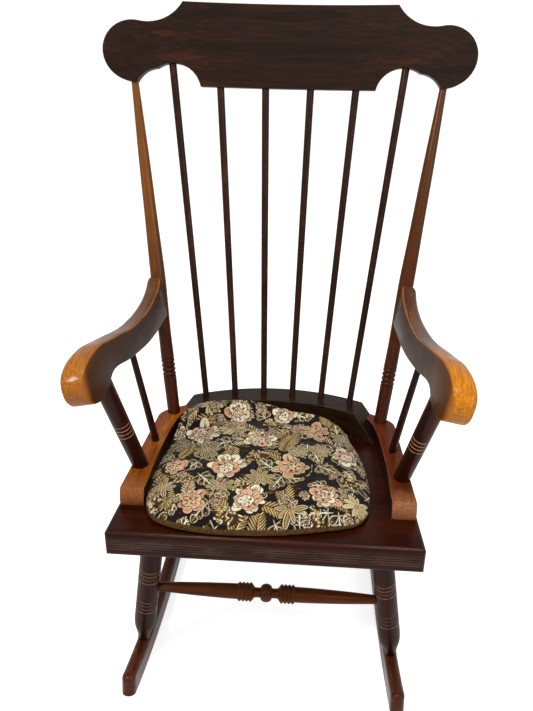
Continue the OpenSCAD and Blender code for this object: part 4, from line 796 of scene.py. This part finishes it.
def verdure():
    """Flowers, leaves, ferns and bushes, strewn densely over a dark ground."""
    dice = random.Random(41)
    for _ in range(620):
        petal(dice.uniform(-190, 190), dice.uniform(-175, 175), dice.uniform(8, 22), dice.uniform(2.4, 4.5),
              dice.choice((0, math.pi)) + dice.uniform(-0.25, 0.25),
              tinted(dice.choice((BROWN, PEAT, RUST, OLIVE, MOSS)), 0.3, dice), tinted(BARK, 0.2, dice), 0.6)
    # Leaves and ferns on a loose grid, then the flowers and bushes between them
    rows = enumerate(range(-168, 180, 34))
    places = [(x, y) for j, y in rows for x in range(-186 + 19 * (j % 2), 200, 38)]
    dice.shuffle(places)
    for n, (x, y) in enumerate(places):
        x, y, turn = x + dice.uniform(-9, 9), y + dice.uniform(-8, 8), dice.uniform(0, 2 * math.pi)
        length = dice.uniform(34, 52)
        u, v = x - length / 2 * math.cos(turn), y - length / 2 * math.sin(turn)
        if n % 5 in (0, 3):
            bend = dice.uniform(-0.9, 0.9)
            feather(u, v, length * 1.15, turn, bend, dice, dice.choice((CREAM, SAND, SAND)))
        else:
            lobed_leaf(u, v, length, turn, dice, dice.choice((OLIVE, MOSS, OLIVE, BROWN)))
    blooms = (
        (-112, 70, 30, 11), (-8, 50, 27, 10), (84, 92, 29, 11), (140, 22, 24, 9), (50, -26, 31, 11),
        (-58, -34, 30, 11), (-146, -30, 23, 9), (-14, -112, 31, 11), (108, -96, 25, 10),
        (-104, -120, 24, 9), (-52, 128, 25, 10), (28, 138, 22, 9),
    )
    others = (
        (-60, 84, 24), (38, 84, 23), (-98, 14, 25), (98, 30, 23), (-10, -2, 22), (0, -62, 24),
        (-62, -84, 23), (150, -52, 25), (-150, 40, 22), (52, -128, 27), (-46, -150, 22),
        (158, -104, 23), (-158, -86, 24), (124, 138, 22), (-108, 132, 22), (76, 152, 18),
        (-10, 158, 18), (140, 82, 22), (60, 18, 20),
    )
    bushes = (
        (-165, -118), (90, -140), (168, -128), (-30, -84), (-128, -70), (12, 108), (176, -10), (-174, 76),
    )
    for n, (x, y, radius) in enumerate(others):
        if n % 3 == 1:
            tuft(x, y, radius * 0.9, dice)
        else:
            lily(x, y, radius, dice.uniform(0, 6.28), dice, dice.choice((MOSS, OLIVE, SAND)))
    for x, y, radius, count in blooms:
        pair = dice.choice(((SALMON, CREAM), (CREAM, SALMON), (SAND, SALMON), (SALMON, SAND)))
        bloom(x, y, radius, count, dice.uniform(0, 6.28), dice, *pair)
    for x, y in bushes:
        tuft(x, y, dice.uniform(14, 19), dice)
    for _ in range(46):
        x, y = dice.uniform(-178, 178), dice.uniform(-165, 165)
        if all(math.hypot(x - b[0], y - b[1]) > b[2] * 0.95 for b in blooms):
            radius, turn = dice.uniform(7, 10.5), dice.uniform(0, 6.28)
            bloom(x, y, radius, 6, turn, dice, dice.choice((CREAM, SALMON, SAND)), BROWN)


verdure()

# The plain boxing, below the seam that runs along the pad's edge
boxing = np.clip(0.5 + (seam_in - inside) / BOXING_BLUR, 0, 1)
boxing = np.where(normals[:, 2] < 0.1, 1.0, boxing)
colours = fine_mesh.color_attributes.new("design", "FLOAT_COLOR", "POINT")
colours.data.foreach_set("color", np.hstack([picture, boxing[:, None]]).ravel())

# Woven cotton tapestry: matt, with a dense rib, drawn at 1.6 and 2 mm so that it shows, and in
# streaks a little lighter or darker. The boxing is plain cloth
WARP_PITCH, WEFT_PITCH = 0.0016, 0.0020
material, tree, shader = new_material("woven_cotton_tapestry")
design = add(tree, "ShaderNodeVertexColor", layer_name="design")
here = add(tree, PLACE).outputs["Object"]
lean = (SEAT_TILT, 0, math.radians(-4))
laid = add(tree, MAPPING, {"Vector": here, "Rotation": lean}).outputs[0]
threads = []
for pitch, direction in ((WARP_PITCH, "X"), (WEFT_PITCH, "Y")):
    links = {"Vector": laid, "Scale": 2 * math.pi / pitch / 20, "Distortion": 0.6, "Detail": 1.0}
    rib = add(tree, "ShaderNodeTexWave", links, wave_type="BANDS", bands_direction=direction)
    threads.append(rib.outputs["Fac"])
weave = add(tree, MATH, threads, operation="MULTIPLY").outputs[0]
stretched = add(tree, MAPPING, {"Vector": laid, "Scale": (260.0, 620.0, 400.0)}).outputs[0]
slubs = add(tree, NOISE, {"Vector": stretched, "Scale": 1.0, "Detail": 2.0}).outputs[0]
soil = add(tree, NOISE, {"Vector": here, "Scale": 14.0, "Detail": 2.0}).outputs[0]
plain = add(tree, RAMP, (slubs,), ((0.3, "#3d2a12"), (0.7, "#5c431f"))).outputs[0]
links = {0: design.outputs["Alpha"], 6: design.outputs["Color"], 7: plain}
face = add(tree, MIX, links, **COLOURS).outputs[2]
uneven = add(tree, RANGE, (slubs, 0.25, 0.75, 0.0, 0.6), **SMOOTH).outputs[0]
dulled = scaled(tree, face, (0.72, 0.70, 0.66))
face = add(tree, MIX, {0: uneven, 6: dulled, 7: face}, **COLOURS).outputs[2]
seam = add(tree, MATH, (design.outputs["Alpha"], 0.5), operation="SUBTRACT").outputs[0]
seam = add(tree, MATH, (seam,), operation="ABSOLUTE").outputs[0]
seam = add(tree, RANGE, (seam, 0.42, 0.1, 0.0, 0.7), **SMOOTH).outputs[0]
face = add(tree, MIX, {0: seam, 6: face, 7: srgb("#1d150c")}, **COLOURS).outputs[2]
between_threads = add(tree, RANGE, (weave, 0.0, 0.4, 0.38, 0.0), **SMOOTH).outputs[0]
face = add(tree, MIX, {0: between_threads, 6: face, 7: (0.006, 0.005, 0.004, 1)}, **COLOURS).outputs[2]
soiled = add(tree, RANGE, (soil, 0.35, 0.7, 0.0, 0.14), **SMOOTH).outputs[0]
face = add(tree, MIX, {0: soiled, 6: face, 7: srgb("#3a2f20")}, **COLOURS).outputs[2]
tree.links.new(face, shader.inputs["Base Color"])
shader.inputs["Roughness"].default_value = 0.9
shader.inputs["Specular IOR Level"].default_value = 0.08
shader.inputs["Sheen Weight"].default_value = 0.04
shader.inputs["Sheen Roughness"].default_value = 0.5
height = add(tree, MATH, (weave, 0.6, slubs), operation="MULTIPLY_ADD").outputs[0]
bump = add(tree, "ShaderNodeBump", {"Height": height, "Strength": 0.5, "Distance": 0.0006}).outputs[0]
tree.links.new(bump, shader.inputs["Normal"])
fine_mesh.materials.clear()
fine_mesh.materials.append(material)


# Cushion: seam stitches, in metres

STITCHES = {"Stitch Pitch": 0.0042, "Stitch Length": 0.0030, "Thread Thickness": 0.0007}


def stitch_tree():
    """Geometry Nodes that lay one short thread after the other along a path."""
    tree = bpy.data.node_groups.new("seam_stitches", "GeometryNodeTree")
    face = tree.interface
    face.new_socket("Path", in_out="INPUT", socket_type="NodeSocketGeometry")
    for name, size in STITCHES.items():
        face.new_socket(name, in_out="INPUT", socket_type="NodeSocketFloat").default_value = size
    face.new_socket("Thread", in_out="INPUT", socket_type="NodeSocketMaterial")
    face.new_socket("Stitches", in_out="OUTPUT", socket_type="NodeSocketGeometry")
    given = add(tree, "NodeGroupInput").outputs
    path = add(tree, "GeometryNodeMeshToCurve", {"Mesh": given["Path"]}).outputs["Curve"]
    spaced = add(tree, "GeometryNodeResampleCurve", {
        "Curve": path, "Length": given["Stitch Pitch"]}, mode="LENGTH")
    turn = add(tree, "FunctionNodeAlignRotationToVector", {
        "Vector": add(tree, "GeometryNodeInputTangent").outputs[0]}, axis="Z").outputs[0]
    half = add(tree, MATH, (given["Thread Thickness"], 0.5), operation="MULTIPLY").outputs[0]
    thread = add(tree, "GeometryNodeMeshUVSphere", {"Segments": 6, "Rings": 5, "Radius": half})
    thread = thread.outputs["Mesh"]
    slender = (given["Stitch Length"], given["Thread Thickness"])
    slender = add(tree, MATH, slender, operation="DIVIDE").outputs[0]
    stretch = add(tree, "ShaderNodeCombineXYZ", {"X": 1.0, "Y": 1.0, "Z": slender}).outputs[0]
    laid = add(tree, "GeometryNodeInstanceOnPoints", {
        "Points": spaced.outputs[0], "Instance": thread, "Rotation": turn, "Scale": stretch}).outputs[0]
    real = add(tree, "GeometryNodeRealizeInstances", {"Geometry": laid}).outputs[0]
    done = add(tree, "GeometryNodeSetMaterial", {"Geometry": real, "Material": given["Thread"]}).outputs[0]
    add(tree, "NodeGroupOutput", {"Stitches": done})
    return tree


# Waxed cotton thread, dark brown: a soft sheen on its twist
thread, tree, shader = new_material("waxed_brown_cotton_thread")
here = add(tree, PLACE).outputs["Object"]
twist = add(tree, NOISE, {"Vector": here, "Scale": 1400.0, "Detail": 2.0}).outputs[0]
brown = add(tree, RAMP, (twist,), ((0.3, "#20160c"), (0.7, "#4a3720"))).outputs[0]
dullness = add(tree, RANGE, (twist, 0.3, 0.7, 0.5, 0.7), **SMOOTH).outputs[0]
tree.links.new(brown, shader.inputs["Base Color"])
tree.links.new(dullness, shader.inputs["Roughness"])
shader.inputs["Specular IOR Level"].default_value = 0.2

faces = [tuple(face.vertices) for face in fine_mesh.polygons]
surface = BVHTree.FromPolygons([v.co for v in fine_mesh.vertices], faces)
upward = Vector(SEAT_UP)
centre_line = []
for k, (x, y) in enumerate(outline):
    before, after = outline[k - 1], outline[(k + 1) % len(outline)]
    out = Vector((after[1] - before[1], before[0] - after[0])).normalized()
    if out.dot(Vector((x, y))) < 0:
        out.negate()
    draw_in = seam_inset(y)
    above = [[x - out.x * draw_in, y - out.y * draw_in, 120]]
    hit = surface.ray_cast(Vector(off_seat(spread(above))[0]), -upward)[0]
    if hit is not None:
        centre_line.append(hit + upward * 0.0001)
links = [(k, (k + 1) % len(centre_line)) for k in range(len(centre_line))]
seam_path = bpy.data.meshes.new("seam_path")
seam_path.from_pydata(centre_line, links, [])
stitching = bpy.data.objects.new("seam_stitches", seam_path)
scene.collection.objects.link(stitching)
tree = stitch_tree()
layer = stitching.modifiers.new("stitches", "NODES")
layer.node_group = tree
sockets = {item.name: item.identifier for item in tree.interface.items_tree}
for name, size in STITCHES.items():
    layer[sockets[name]] = size
layer[sockets["Thread"]] = thread
bpy.context.view_layer.update()
sewn = bpy.data.meshes.new_from_object(stitching.evaluated_get(bpy.context.evaluated_depsgraph_get()))
stitching.modifiers.clear()
stitching.data = sewn
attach(stitching, "cushion")

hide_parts("seat_cushion")
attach(cushion, "cushion")
